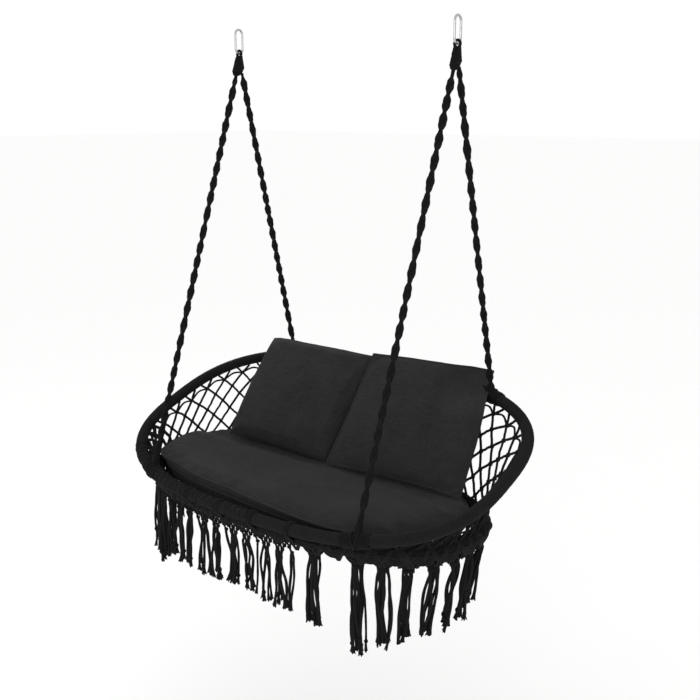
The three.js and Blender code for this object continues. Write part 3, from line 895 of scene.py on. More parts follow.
def seat_net():
    bag = Bag()
    half_i, half_j = int(LOWER.half_x / CELL) + 2, int(LOWER.half_y / CELL) + 2
    nodes = {}
    for i in range(-half_i, half_i + 1):
        for j in range(-half_j, half_j + 1):
            if (i + j) % 2:
                continue
            x, y = i * CELL, LOWER_Y + j * CELL
            share = seat_share(x, y)
            z = LOWER_Z - SAG * (1 - min(share, 1) ** 5)
            nodes[i, j] = (np.array([x, y, z]) + jitter() * [1, 1, 0.4], share)
    for (i, j), (point, share) in nodes.items():
        if share > SEAT_NET_EDGE:
            continue
        knot(bag, point, UP, 0.0042, along=BACK)
        for step_i, step_j in ((1, 1), (-1, 1), (1, -1), (-1, -1)):
            if (i + step_i, j + step_j) not in nodes:
                continue
            other, other_share = nodes[i + step_i, j + step_j]
            if other_share <= SEAT_NET_EDGE:
                if step_j > 0:
                    cord_run(bag, point, other, UP, NET_CORD, -0.0006)
                continue
            reach = CELL * edge_reach(point[0], point[1], step_i, step_j)
            x, y = point[0] + step_i * reach, point[1] + step_j * reach
            cord_run(bag, point, np.array([x, y, LOWER_Z]), UP, NET_CORD)
            if rng.random() < 0.8:
                tie(bag, LOWER.run_towards(x, y - LOWER_Y))
    run = LOWER.length * np.arange(420) / 420
    point, out = LOWER.frame(run)
    for inset, depth in EDGE_CORDS:
        wave = 0.0012 * np.sin(run * 90 + inset * 900)
        path = point - out * (inset + wave)[:, None]
        path[:, 2] -= depth + 0.0015 * np.sin(run * 70 + inset * 500)
        bag.sweep(path, out, 0.0029, closed=True)
    assign(bag.object("seat_net_cords", NET), "chair", "seat_net")


seat_net()

# ------------------------------------------------------------------ rings and ropes

EYE_RADIUS = 0.00865
NECK_TOP = RING_LOW - EYE_RADIUS + 0.001
# length of half a turn of the laid strands in each leg, by side and end
HALF_LAY = {(-1, -1): 0.047, (-1, 1): 0.043, (1, -1): 0.054, (1, 1): 0.046}


def random_phase(source=rng):
    return source.random() * 6.28


def steel_ring(side, side_name):
    """An oval ring of bent wire with a weld on the back straight."""
    centre = np.array([side * HANG_X, HANG_Y, (RING_HIGH + RING_LOW) / 2])
    angle = full_turn(96) + math.pi / 96
    path = centre + RING_BEND * around(angle, BACK, UP)
    straight = (RING_HIGH - RING_LOW) / 2 - RING_BEND
    path[:, 2] += np.sign(np.sin(angle)) * straight
    dense_path = []
    for here, after in zip(path, np.roll(path, -1, 0)):
        # the straights between the upper and lower bends get points of their own
        crosses = (here[2] > centre[2]) != (after[2] > centre[2])
        dense_path.extend(np.linspace(here, after, 10 if crosses else 2)[:-1])
    dense_path = np.array(dense_path)
    weld = np.linalg.norm(dense_path - (centre + [0, RING_BEND, 0.004]), axis=1)
    bead, groove = np.exp(-((weld / 0.0016) ** 2)), np.exp(-((weld / 0.004) ** 2))
    radius = RING_WIRE + 0.00035 * bead - 0.0001 * groove
    bag = Bag()
    bag.sweep(dense_path, RIGHT, radius, 20, closed=True)
    made = bag.object(f"steel_ring_{side_name}", STEEL)
    assign(made, "hanging_rings", f"hanging_ring_{side_name}")


def lay_cords(bag, line, axis_1, axis_2, phase, gap, radius, sides):
    """Three cords laid round a line."""
    for k in range(3):
        radial = around(phase + 2 * math.pi * k / 3, axis_1, axis_2)
        bag.sweep(line + radial * np.reshape(gap, (-1, 1)), radial, radius, sides)


def rope_leg(side, side_name, end, end_name):
    """Two strands laid round each other, each of three cords."""
    _, low, top = leg_line(side, end)
    axis = unit(top - low)
    length = np.linalg.norm(top - low)
    half_lay = HALF_LAY[side, end]
    overrun = 0.004
    height = np.linspace(-overrun, length + overrun, int(length / 0.0035))
    # the lay tightens and opens a little along the leg
    stations = np.linspace(0, length, int(length / (2 * half_lay)) + 2)
    rate = np.interp(height, stations, 1 + 0.12 * rng.normal(size=len(stations)))
    phase = np.cumsum(rate) * (height[1] - height[0]) * math.pi / half_lay
    phase -= phase[0]
    to_end = np.minimum(height + overrun, length + overrun - height)
    fullness = 0.35 + 0.65 * ease(to_end / 0.03)
    uneven = np.interp(height, stations, rng.normal(size=len(stations)))
    strand_gap = 0.0052 * fullness * (1 + 0.06 * uneven)
    start_phase = random_phase()
    line = low + axis * height[:, None]
    bag = Bag()
    # a thin heart cord keeps the lay closed
    bag.sweep(line[::4], RIGHT, 0.0036 * fullness[::4], 8)
    for k in range(2):
        turn = phase + math.pi * k + start_phase
        radial = around(turn, RIGHT, np.cross(axis, RIGHT))
        lay_cords(
            bag, line + radial * strand_gap[:, None], radial, np.cross(axis, radial),
            phase=-phase * 2.6, gap=0.0027 * fullness,
            radius=0.0030 * (0.8 + 0.2 * fullness), sides=7,
        )
    made = bag.object(f"rope_leg_{end_name}_{side_name}", ROPE)
    assign(made, f"{side_name}_legs", f"hanging_rope_{end_name}_{side_name}")


class Neck:
    """The gathered rope between the tops of two legs and the ring."""

    def __init__(self, side):
        front, back = leg_line(side, -1)[2], leg_line(side, 1)[2]
        self.bottom = (front + back) / 2 + UPPER.normal * 0.0095
        self.half_span = np.linalg.norm(front - back) / 2
        self.rise = np.array([side * HANG_X, HANG_Y, NECK_TOP]) - self.bottom

    def centre(self, up):
        """The centre line, with up from 0 at the bottom to 1 at the top."""
        return self.bottom + self.rise * up[:, None]

    def section(self, up, spare=0.0):
        """Half width along X, half depth, and the direction of the depth."""
        down = 1 - up
        wide = 0.0062 + 0.0028 * down
        deep = 0.0062 + (self.half_span + spare) * np.minimum(1, down * 1.25)
        return wide[:, None], deep[:, None], around(TILT * down, BACK, UP)

    def wind(self, bag, up, phase, wider, deeper, cord, level=False):
        """Cord wound round the neck, clear of its section by wider and deeper."""
        wide, deep, across = self.section(up)
        if level:
            across = BACK
        offset = around(phase, RIGHT * (wide + wider), across * (deep + deeper))
        bag.sweep(self.centre(up) + offset, unit(offset), cord)

    def cords(self, bag):
        """Cords from the eye down over both leg tops."""
        up = np.linspace(0, 1, 9)
        wide, deep, across = self.section(up, spare=0.0002)
        draw_in = 1 - 0.16 * np.maximum(0, 1 - up / 0.22) ** 1.5
        belly = 1 + 0.10 * np.sin(math.pi * np.minimum(1, (1 - up) * 1.1))
        scale = (draw_in * belly)[:, None]
        for start in full_turn(26):
            offset = around(start + 0.5 * up, RIGHT * wide * scale, across * deep * scale)
            points = self.centre(up) + offset
            # the lower ends are tucked in between the strands of the legs
            tucked = points[0] * 0.55 + self.bottom * 0.45 - UPPER.normal * 0.006
            path = smooth_path(np.r_[[tucked], points], 30)
            height = np.clip((path[:, 2] - self.bottom[2]) / self.rise[2], 0, 1)
            bag.sweep(path, unit(path - self.centre(height) + 1e-6), 0.0021)


def rope_eye(bag, x):
    """Laid rope round the ring's lower bend, with both tails in the neck."""
    angle = np.linspace(-math.pi / 2 + 0.35, 1.5 * math.pi - 0.35, 60)
    bend = np.array([x, HANG_Y, RING_LOW]) + EYE_RADIUS * around(angle, RIGHT, UP)
    right_tail, left_tail = [
        [[x + hand * 0.0042, HANG_Y, NECK_TOP - 0.004],
         [x + hand * 0.004, HANG_Y, NECK_TOP - 0.016]]
        for hand in (1, -1)
    ]
    line = smooth_path(np.r_[right_tail[::-1], bend, left_tail], 150)
    across = np.cross(unit(np.gradient(line, axis=0)), BACK)
    phase = runs_along(line) / 0.016 * 2 * math.pi
    lay_cords(bag, line, BACK, across, phase, gap=0.0019, radius=0.0021, sides=8)


def eye_and_neck(side, side_name):
    neck = Neck(side)
    bag = Bag()
    rope_eye(bag, side * HANG_X)
    neck.cords(bag)
    share, phase = coil(3, 28)
    neck.wind(bag, 0.16 + 0.07 * share, phase, wider=0.0016, deeper=0.0016, cord=0.0018)
    made = bag.object(f"eye_and_neck_{side_name}", ROPE)
    assign(made, "rope_eyes", f"rope_eye_{side_name}")

    # whipping: fine cord wound close round the top of the neck
    bag = Bag()
    share, phase = coil(10, 22)
    up = 1 + (0.001 - 0.020 * share) / neck.rise[2]
    neck.wind(bag, up, phase, wider=0.0030, deeper=0.0024, cord=0.00125, level=True)
    made = bag.object(f"whipping_cord_{side_name}", ROPE)
    assign(made, "rope_eyes", f"neck_whipping_{side_name}")


for side, side_name in SIDES:
    steel_ring(side, side_name)
    for end, end_name in ENDS:
        rope_leg(side, side_name, end, end_name)
    eye_and_neck(side, side_name)

# ------------------------------------------------------------------ fringe

FRONT_X = (-0.360, -0.240, -0.120, 0.0, 0.120, 0.240, 0.360)
SIDE_STEP = 0.066  # run between the bundles that go on round each end
SIDE_LENGTHS = (0.246, 0.229, 0.224, 0.214, 0.218, 0.198)  # from the front to the back
HINGE_Z = LOWER_Z - LOWER.tube - 0.005

LACE_HALF_WIDTHS = (0.031,) * 6 + (0.038, 0.058, 0.058, 0.058, 0.056)
LACE_PITCH, LACE_ROW = 0.0185, 0.0135
LACE_SPAN = 3  # cords from the edge of a lace point to its tip
# length of the lace cords along the front: x, length
LACE_X = (-0.42, -0.36, -0.24, -0.12, 0.0, 0.12, 0.18)
LACE_LENGTH = (0.246, 0.212, 0.182, 0.196, 0.190, 0.195, 0.206)

TASSEL_LENGTHS = (0.222, 0.276) + SIDE_LENGTHS
# cords, half spread of the cords on the hoop, share of the sideways drift
TASSELS = (
    (9, 0.030, 0), (9, 0.030, 0), (8, 0.030, 0), (8, 0.030, 0.5),
    (8, 0.030, 0.8), (8, 0.024, 0.9), (8, 0.024, 1.0), (8, 0.024, 1.35),
)
TASSEL_DRIFT = np.array([-0.0155, -0.0125, 0.0])
FRINGE_TIE = dict(lift=0.0014, cord=0.0023)


def fray(bag, end, down, radius, spread):
    """The loose yarns of a cut cord end."""
    side_1 = unit(np.cross(down, [0.3, 1.0, 0.1]))
    side_2 = np.cross(down, side_1)
    for k in range(11):
        way = around(k * 2.4 + rng.random(), side_1, side_2)
        wide = radius * (0.2 + rng.random()) * spread
        drop = 0.008 + 0.006 * rng.random()
        points = [
            end - down * 0.008 + way * radius * 0.45,
            end + down * drop * 0.45 + way * (radius * 0.45 + wide * 0.45),
            end + down * drop + way * (radius * 0.4 + wide),
        ]
        thickness = np.linspace(radius * 0.60, radius * 0.42, 5)
        bag.sweep(smooth_path(points, 5), [1, 0.3, 0.2], thickness, 5)


def hang_cord(bag, points, radius, sway, knotted, spread):
    """A loose cord down through points, a little wavy, with a frayed end."""
    path = smooth_path(points, 14)
    f = np.linspace(0, 1, 14)
    phase = rng.random(4) * 6.28
    growth = sway * np.clip(f * 1.6, 0, 1) * 0.6
    for axis, (slow, quick) in enumerate((phase[:2], phase[2:])):
        wave = np.sin(5.5 * f + slow) - math.sin(slow) + 0.4 * np.sin(12 * f + quick)
        path[:, axis] += growth * wave
    length = abs(path[0, 2] - path[-1, 2])
    path = smooth_path(path, int(16 + length * 110))
    swell = 1 + 0.07 * np.sin(np.linspace(0, length * 160, len(path)) + phase[0])
    bag.sweep(path, [1, 0.2, 0.1], radius * swell, 7, u_start=rng.random())
    if knotted:
        place = path[-max(3, int(len(path) * 0.08))]
        bag.ball(place, radius * 1.75, UP, segments=8, rings=5, squash=1.1)
    fray(bag, path[-1], unit(path[-1] - path[-3]), radius, spread)


def swag(bag, middle, half, depth, cord, lift):
    """A cord hanging in a shallow loop from the lower hoop's outer face."""
    f = np.linspace(-1, 1, 17)
    point, out = LOWER.frame(middle + f * half)
    drop = depth * (1 - np.abs(f) ** 2.6)
    path = point + out * (LOWER.tube + lift - 0.3 * np.maximum(drop - 0.012, 0))[:, None]
    path[:, 2] += 0.006 - drop
    bag.sweep(path, out, cord)


class Spot:
    """A fringe bundle's place under the lower hoop."""

    def __init__(self, point, out):
        self.x, self.y = point[:2]
        self.top = np.array([self.x, self.y, HINGE_Z])
        self.out = out
        self.tangent = np.array([-out[1], out[0], 0.0])
        self.run = LOWER.run_towards(self.x, self.y - LOWER_Y)


def tassel(bag, spot, length, count, reach, drift_share):
    """Cords gathered to a bound neck under the hoop, hanging on below it."""
    top, out, tangent = spot.top, spot.out, spot.tangent
    drift = TASSEL_DRIFT * drift_share

    def header(offset):
        """A point on the hoop's outer lower face."""
        point, outward = LOWER.frame(spot.run + offset)
        return point + outward * (LOWER.tube * 0.55) - UP * (LOWER.tube * 0.8)

    cords = []
    for g in np.linspace(-1, 1, count):
        for offset in (-0.0015, 0.0015):
            tie(bag, spot.run + g * reach + offset, **FRINGE_TIE)
        start = header(g * reach)
        neck = top + tangent * g * 0.0130 + out * (rng.normal(0, 0.0022) + 0.001)
        neck = neck + UP * (-0.018 + 0.004 * rng.random()) + drift * 0.25
        middle = (start + neck) / 2 + tangent * g * 0.003
        # two layers of cords run from the hoop to the neck
        bag.sweep(smooth_path([start, middle, neck], 10), out, 0.0031)
        inner_middle = middle - out * 0.004 - tangent * g * 0.004
        inner = [start - out * 0.005, inner_middle, neck - out * 0.003]
        bag.sweep(smooth_path(inner, 10), out, 0.0031)
        cords.append((g, neck))
    # crossing cords of the small knotted triangle
    for j in range(2):
        for hand in (-1, 1):
            start = header(hand * reach * (0.9 - 0.4 * j))
            end = top - tangent * hand * 0.006 - UP * (0.012 + 0.003 * j) + out * 0.004
            points = [start + out * 0.002, (start + end) / 2 + out * 0.004, end]
            bag.sweep(smooth_path(points, 10), out, 0.0023)
    for g, neck in cords:
        tip = top + tangent * (g * 0.0128 + rng.normal(0, 0.003)) + drift * 1.25
        tip = tip + out * rng.normal(0, 0.0055)
        tip = tip + UP * (0.028 - length + rng.normal(0, 0.007))
        middle = (neck + tip) / 2 + tangent * rng.normal(0, 0.0030)
        middle = middle + out * rng.normal(0, 0.003)
        hang_cord(
            bag, [neck, neck - UP * 0.02 - tangent * g * 0.001, middle, tip],
            radius=0.0038 * rng.uniform(0.8, 1.15), sway=0.0066,
            knotted=rng.random() < 0.2, spread=1.2,
        )
    # two turns bind the neck
    share, phase = coil(2, 20)
    offset = around(phase, tangent * 0.0148, out * 0.0064)
    centre = top + drift * 0.25 - UP * (0.019 + 0.0082927 * share)[:, None]
    bag.sweep(centre + offset, unit(offset), 0.0019)


def lace(bag, spot, half_width, end_length=None):
    """Small diamonds drawn down to points, with cords hanging on below.

    end_length is the cord length round the left end; the front takes it from LACE_LENGTH.
    """
    half_count = round(2 * half_width / LACE_PITCH) | 1  # made odd
    half_pitch = half_width / half_count
    columns = range(-half_count, half_count + 1)

    def lace_point(i, j):
        """The place i half pitches from the middle and j rows down."""
        point, out = LOWER.frame(spot.run + i * half_pitch)
        outward = out * (LOWER.tube * 0.45 + 0.003 - 0.001 * j)
        return point + outward - UP * (LOWER.tube + 0.001 + j * LACE_ROW), out

    depth = {}
    for i in columns:
        tie(bag, spot.run + i * half_pitch, **FRINGE_TIE)
        phase = ((i + half_count) / (2 * LACE_SPAN)) % 1.0
        depth[i] = 1 + round(2 * (1 - abs(2 * phase - 1)))
    bottoms = []
    for i in columns:
        for j in range(depth[i] + 1):
            if (i + j + half_count) % 2:
                continue
            point, out = lace_point(i, j)
            knot(bag, point, out, 0.0047)
            below = [k for k in (i - 1, i + 1) if k in depth and j + 1 <= depth[k]]
            for k in below:
                cord_run(bag, point, lace_point(k, j + 1)[0], out, 0.0029, 0.0004, 5)
            if not below or j == depth[i]:
                bottoms.append((i, j))
    full_depth = max(depth.values()) - (1 if end_length else 0)
    for i, j in bottoms:
        start, out = lace_point(i, j)
        if end_length:
            length = end_length + 0.012 * rng.normal() + 0.022 * (rng.random() < 0.2)
        else:
            length = np.interp(spot.x + i * half_pitch, LACE_X, LACE_LENGTH)
        if depth[i] >= full_depth:
            count = 2 + int(rng.random() < 0.5) + int(rng.random() < 0.3)
        else:
            count = 1 + int(rng.random() < 0.45)
        for k in range(count):
            offset = (k - (count - 1) / 2) * 0.0062
            aside = spot.tangent * offset
            tip = start + spot.tangent * (offset * 1.6 + rng.normal(0, 0.0062))
            tip = tip + out * rng.normal(0, 0.0055)
            tip[2] = HINGE_Z - length + 0.022 + rng.normal(0, 0.007)
            middle = (start + tip) / 2 + aside * 0.3
            hang_cord(
                bag, [start + aside * 0.3, start + aside - UP * 0.018, middle, tip],
                radius=0.0036 * rng.uniform(0.8, 1.15), sway=0.0056,
                knotted=rng.random() < 0.35, spread=1.3,
            )


def fringe_spots():
    """From the back of the left end, along the front, to the back of the right end."""
    start = LOWER.run_at_x(FRONT_X[-1], -1)
    right = [LOWER.frame(start + SIDE_STEP * (k + 1)) for k in range(len(SIDE_LENGTHS))]
    mirror = np.array([-1, 1, 1])
    left = [(point * mirror, out * mirror) for point, out in reversed(right)]
    front = [LOWER.frame(LOWER.run_at_x(x, -1)) for x in FRONT_X]
    return [Spot(point, out) for point, out in left + front + right]


def fringe(spots):
    lace_count = len(LACE_HALF_WIDTHS)
    for k, spot in enumerate(spots):
        bag = Bag()
        if k >= lace_count:
            tassel(bag, spot, TASSEL_LENGTHS[k - lace_count], *TASSELS[k - lace_count])
        elif k < len(SIDE_LENGTHS):
            lace(bag, spot, LACE_HALF_WIDTHS[k], SIDE_LENGTHS[-1 - k])
        else:
            lace(bag, spot, LACE_HALF_WIDTHS[k])
        made = bag.object(f"fringe_cords_{k + 1:02d}", FRINGE)
        bundle = f"fringe_bundle_{k + 1:02d}"
        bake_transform(made)
        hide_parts(bundle)


def swags(spots):
    """Knotted loops of cord on the lower hoop, between neighbouring bundles."""
    bag = Bag()
    for k in range(len(spots) - 1):
        start, end = spots[k].run, spots[k + 1].run
        if end < start:
            end += LOWER.length
        if k < len(LACE_HALF_WIDTHS):
            for middle in np.arange(start, end, 0.030):
                middle = middle + rng.normal(0, 0.003)
                depth = 0.016 + 0.007 * rng.random()
                for j, lift in enumerate((0.0030, 0.0050, 0.0034, 0.0052)):
                    swag(bag, middle, 0.021 - 0.003 * j, depth - 0.0045 * j, 0.0025, lift)
            continue
        middle, half = (start + end) / 2, min((end - start) / 2, 0.034)
        for depth, lift in (
            (0.030, 0.0016), (0.0255, 0.0034), (0.021, 0.0020),
            (0.016, 0.0036), (0.011, 0.0022), (0.006, 0.0034),
        ):
            swag(bag, middle, half * (0.55 + 15 * depth), depth, 0.0024, lift)
        for f in np.linspace(-0.9, 0.9, 6):
            tie(bag, middle + f * half, lift=0.0010, cord=0.0023)
    assign(bag.object("lower_hoop_swags", NET), "chair")


spots = fringe_spots()
fringe(spots)
swags(spots)

# ------------------------------------------------------------------ cushion helpers


def apply_modifier(made, modifier):
    with bpy.context.temp_override(object=made, active_object=made, selected_objects=[made]):
        bpy.ops.object.modifier_apply(modifier=modifier.name)


def coords(made):
    flat = np.zeros(len(made.data.vertices) * 3, np.float32)
    made.data.vertices.foreach_get("co", flat)
    return flat.reshape(-1, 3).astype(float)


def set_coords(made, points):
    made.data.vertices.foreach_set("co", points.astype(np.float32).ravel())
    made.data.update()


def inflate(made, pressure, limit, hold):
    """Fills the cushion by a short cloth simulation.

    hold scales the movement along each axis, and limit is the most a point may move.
    """
    frames, stiffness = 20, 18.0
    before = coords(made)
    modifier = made.modifiers.new("cloth", "CLOTH")
    cloth = modifier.settings
    cloth.use_pressure = True
    cloth.uniform_pressure_force = pressure
    cloth.quality = 4
    cloth.mass = 0.3
    cloth.tension_stiffness = cloth.compression_stiffness = stiffness
    cloth.shear_stiffness = stiffness * 0.5
    cloth.bending_stiffness = 0.6
    cloth.effector_weights.gravity = 0
    modifier.collision_settings.use_collision = False
    modifier.collision_settings.use_self_collision = False
    modifier.point_cache.frame_start, modifier.point_cache.frame_end = 1, frames
    scene = bpy.context.scene
    for number in range(1, frames + 1):
        scene.frame_set(number)
    apply_modifier(made, modifier)
    scene.frame_set(1)
    move = (coords(made) - before) * np.asarray(hold)
    distance = np.linalg.norm(move, axis=1, keepdims=True)
    set_coords(made, before + move * np.minimum(1, limit / np.maximum(distance, 1e-9)))


def crowded(count, strength):
    """Square grid coordinates over -1 to 1, closer together near the rim."""
    line = np.linspace(-1, 1, count)
    line = np.sin(line * math.pi / 2) * strength + line * (1 - strength)
    return np.meshgrid(line, line, indexing="ij")


def sewn_sheets(name, first, second, uv):
    """A closed mesh of two sheets joined round their rim."""
    bag = Bag()
    bag.grid(first, uv)
    bag.grid(second[:, ::-1], uv[:, ::-1] + 0.37)
    made = bag.object(name, CLOTH)
    mesh = bmesh.new()
    mesh.from_mesh(made.data)
    bmesh.ops.remove_doubles(mesh, verts=mesh.verts, dist=2e-6)
    bmesh.ops.recalc_face_normals(mesh, faces=mesh.faces)
    mesh.to_mesh(made.data)
    mesh.free()
    return made


def subdivide(made):
    modifier = made.modifiers.new("sub", "SUBSURF")
    modifier.levels = modifier.render_levels = 1
    apply_modifier(made, modifier)
    polygons = made.data.polygons
    polygons.foreach_set("use_smooth", np.ones(len(polygons), bool))


def filling_of(cover, name, material, centre, scale):
    """The cover's shape drawn in towards its middle, with fewer faces."""
    mesh = cover.data.copy()
    made = bpy.data.objects.new(name, mesh)
    bpy.context.scene.collection.objects.link(made)
    set_coords(made, centre + (coords(made) - centre) * np.asarray(scale))
    modifier = made.modifiers.new("less", "DECIMATE")
    modifier.ratio = 0.12
    apply_modifier(made, modifier)
    mesh.materials.clear()
    mesh.materials.append(material)
    return made


def surface_tree(made):
    bpy.context.view_layer.update()
    return BVHTree.FromObject(made, bpy.context.evaluated_depsgraph_get())


def ripples(source, x, y, count, spread, height):
    """The sum of a few random plane waves."""
    total = 0.0
    for _ in range(count):
        wave = source.normal(0, 1, 2) * spread
        total = total + height * np.sin(x * wave[0] + y * wave[1] + random_phase(source))
    return total


def zipper(name, line, out, across):
    """A tape on each side, a coil of teeth and a slider, along line."""
    wide = 0.0115
    bag = Bag()
    total = runs_along(line)[-1]
    middle = at_run(line, np.linspace(0, total, int(total / 0.006)))
    for k in (-1, 1):
        tape = middle + across * k * wide * 0.30 + out * 0.0004
        bag.sweep(tape, out, wide * 0.26, 8, flat=0.14)
    share, phase = coil(int(total / 0.0022), 7)
    teeth = at_run(line, total * share) + out * 0.0011
    bag.sweep(teeth + around(phase, across * 0.0017, out * 0.0006), out, 0.00042, 4)

    # slider body, its bridge and the pull
    way = unit(line[1] - line[0])
    slider = middle[3]
    f = np.linspace(0, 1, 9)
    body = slider + out * 0.0024 + way * np.linspace(-0.0048, 0.0048, 9)[:, None]
    bag.sweep(body, out, 0.0036 * (1 - 0.35 * f**2), 12, flat=0.42)
    rise = 0.0037 + 0.0017 * np.sin(math.pi * f)
    bridge = slider + way * np.linspace(-0.003, 0.003, 9)[:, None] + out * rise[:, None]
    bag.sweep(bridge, out, 0.0007, 8)
    f = np.linspace(0, 1, 12)
    pull = slider + way * (0.001 + 0.022 * f)[:, None] + out * (0.0050 - 0.0010 * f)[:, None]
    bag.sweep(pull, out, 0.0022 * (0.6 + 0.4 * f), 10, flat=0.3)
    return bag.object(name, ZIP)


# ------------------------------------------------------------------ back cushions

BACK_LEAN = math.atan2(211, 288)
BACK_TURN = math.radians(2.5)
BACK_HIGH = 0.366  # full height, of the right cushion
BACK_CENTRE = (0.142, 0.045 + LIFT)  # y, z of the middle of a cushion of full height
BACK_HALF_THICK = 0.053
# rise of the upper edge along it: x, rise
LEFT_RISE = (
    (-0.42, -0.385, -0.33, -0.22, -0.10, -0.017),
    (-0.003, 0.005, 0.0105, 0.0145, 0.0150, 0.0125),
)
RIGHT_RISE = (
    (-0.014, 0.05, 0.13, 0.24, 0.36, 0.45),
    (0.005, 0.010, 0.0145, 0.0165, 0.0155, 0.010),
)
CORNER_TUCK = np.array([-0.087387, 0.1119554, -0.0314374])


def crease(points, half_x, half_z, source):
    """Creases at the corners, broad ripples and puckers along the rim."""
    x, y, z = points.T
    amount = np.zeros(len(points))
    for side_x, side_z in ((-1, -1), (-1, 1), (1, -1), (1, 1)):
        from_x, from_z = x - side_x * half_x, z - side_z * half_z
        near = np.exp(-(((np.hypot(from_x, from_z) - 0.055) / 0.050) ** 2))
        folds = 9 + source.integers(0, 4)
        fan = np.sin(np.arctan2(from_z, from_x) * folds + random_phase(source))
        amount += near * fan * 0.0013
    amount += ripples(source, x, z, count=7, spread=20, height=0.0006)
    share_x, share_z = np.abs(x) / half_x, np.abs(z) / half_z
    rim = np.exp(-(((1 - np.clip(np.maximum(share_x, share_z), 0, 1)) / 0.05) ** 2))
    along = np.where(share_x > share_z, z, x)
    amount += rim * np.sin(along * 210 + 2.0 * np.sin(along * 37)) * 0.0009
    points[:, 1] += np.sign(y) * amount * np.clip(np.abs(y) / 0.012, 0, 1)


def rim_seam(name, rim, tree):
    """A fine ridge round the rim, with a row of stitches on each face."""
    bag = Bag()
    bag.sweep(rim, BACK, 0.0016, 8, closed=True)
    loop = np.r_[rim, rim[:1]]
    pitch, stitch = 0.0075, 0.0042
    runs = np.arange(0, runs_along(loop)[-1] - pitch, pitch)
    for start, end in zip(at_run(loop, runs), at_run(loop, runs + stitch)):
        inward = -unit(start * [1, 0, 1])
        for side in (-1, 1):
            found = []
            for point in (start, end):
                x, _, z = point + inward * 0.0065
                hit = tree.ray_cast(Vector((x, side * 0.08, z)), Vector((0, -side, 0)))[0]
                if hit is not None:
                    found.append(np.array(hit) + BACK * side * 0.0002)
            if len(found) == 2:
                middle = (found[0] + found[1]) / 2 + BACK * side * 0.0003
                bag.sweep([found[0], middle, found[1]], BACK, 0.00045, 4)
    return bag.object(name, PIPING)


def back_cushion(side, left, right, high, turn, roll, raise_by, inner, seed, shape):
    """A cushion made upright round the origin, then set in its place.

    inner is the sign of the x side that meets the other cushion. shape moves the placed
    points.
    """
    half_x, half_z = (right - left) / 2, high / 2
    name = f"back_cushion_{side}"

    def outline(u, v):
        """The flat outline, its edges drawn in between the corners."""
        pull = np.where(u * inner > 0, 0.004, 0.028)
        x = u * (half_x - 0.002) * (1 - pull * (1 - v**2) * np.abs(u))
        return x, v * (half_z - 0.002) * (1 - 0.024 * (1 - u**2) * np.abs(v))

    u, v = crowded(76, 0.35)
    x, z = outline(u, v)
    crown = np.clip((1 - u**2) * (1 - v**2), 0, None) ** 0.44
    thick = BACK_HALF_THICK * crown * (1 - 0.10 * v * (1 - v**2))
    front, back = np.stack([x, -thick, z], -1), np.stack([x, thick * 0.96, z], -1)
    cover = sewn_sheets(f"{name}_cloth", front, back, np.stack([x, z], -1))
    inflate(cover, pressure=4.0, limit=0.012, hold=(0.07, 1.0, 0.07))
    points = coords(cover)
    crease(points, half_x, half_z, np.random.default_rng(seed))
    set_coords(cover, points)
    subdivide(cover)
    fibre = filling_of(cover, f"{name}_fibre", FIBRE, (0, 0, 0), (0.88, 0.74, 0.88))

    tree = surface_tree(cover)
    rim = []
    for k in range(480):
        edge = k // 120
        f = 2 * (k % 120) / 120
        x, z = outline(*[(-1 + f, -1), (1, -1 + f), (1 - f, 1), (-1, 1 - f)][edge])
        rim.append(np.array(tree.find_nearest(Vector((x * 1.04, 0, z * 1.04)))[0]))
    rim = np.array(rim)
    rim[:, 1] *= 0.5
    rim = soften_ring(rim, 2)
    seam = rim_seam(f"{name}_seam", rim, tree)
    low_rim = rim[(np.abs(rim[:, 0]) < half_x - 0.066) & (rim[:, 2] < 0)]
    low_rim = low_rim[np.argsort(low_rim[:, 0])]
    zip_line = zipper(f"{name}_zipper", low_rim - UP * 0.0014, out=-UP, across=BACK)

    # a lower cushion stands on the same lower edge
    drop = (BACK_HIGH - high) / 2
    centre = (
        (left + right) / 2 + 0.003,
        BACK_CENTRE[0] - drop * math.sin(BACK_LEAN),
        BACK_CENTRE[1] - drop * math.cos(BACK_LEAN) + raise_by,
    )
    placing = (
        Matrix.Translation(Vector(centre))
        @ Matrix.Rotation(turn, 4, "Z")
        @ Matrix.Rotation(-BACK_LEAN, 4, "X")
        @ Matrix.Rotation(roll, 4, "Y")
    )
    for made, slot, replaced in (
        (cover, "cushion_cloth", f"{name}_cover"),
        (seam, "cushion_cloth", None),
        (zip_line, "zip_tape", f"{name}_zip"),
        (fibre, "cushion_fibre", f"{name}_filling"),
    ):
        made.data.transform(placing)
        points = coords(made)
        shape(points)
        lean_right(points)
        set_coords(made, points)
        assign(made, name, replaced)


def lean_right(points):
    """Where the two back cushions meet, their upper parts lean to the right."""
    near = np.interp(points[:, 0], [-0.26, -0.02, 0.02, 0.30], [0, 1, 1, 0])
    points[:, 0] += 0.025 * near * np.clip((points[:, 2] - 0.36) / 0.30, 0, 1.1)


def shape_left(points):
    """A straight upper edge."""
    high = np.clip((points[:, 2] - 0.49) / 0.15, 0, 1)
    points[:, 2] += high * np.interp(points[:, 0], *LEFT_RISE)
    points[:, 0] += 0.010 * high * np.clip((-0.30 - points[:, 0]) / 0.12, 0, 1)


def shape_right(points):
    """The upper outer corner leans back past the hanging rope."""
    x, _, z = points.T
    tuck = ease((x - 0.250) / 0.155) * ease((z - 0.535) / 0.105)
    outer = np.clip((x - 0.350) / 0.080, 0, 1) * np.clip((z - 0.480) / 0.090, 0, 1)
    rise = np.clip((z - 0.49) / 0.15, 0, 1) * np.interp(x, *RIGHT_RISE)
    points[:, 0] -= 0.010 * outer * (1 - tuck)
    points += tuck[:, None] * CORNER_TUCK
    points[:, 2] += rise


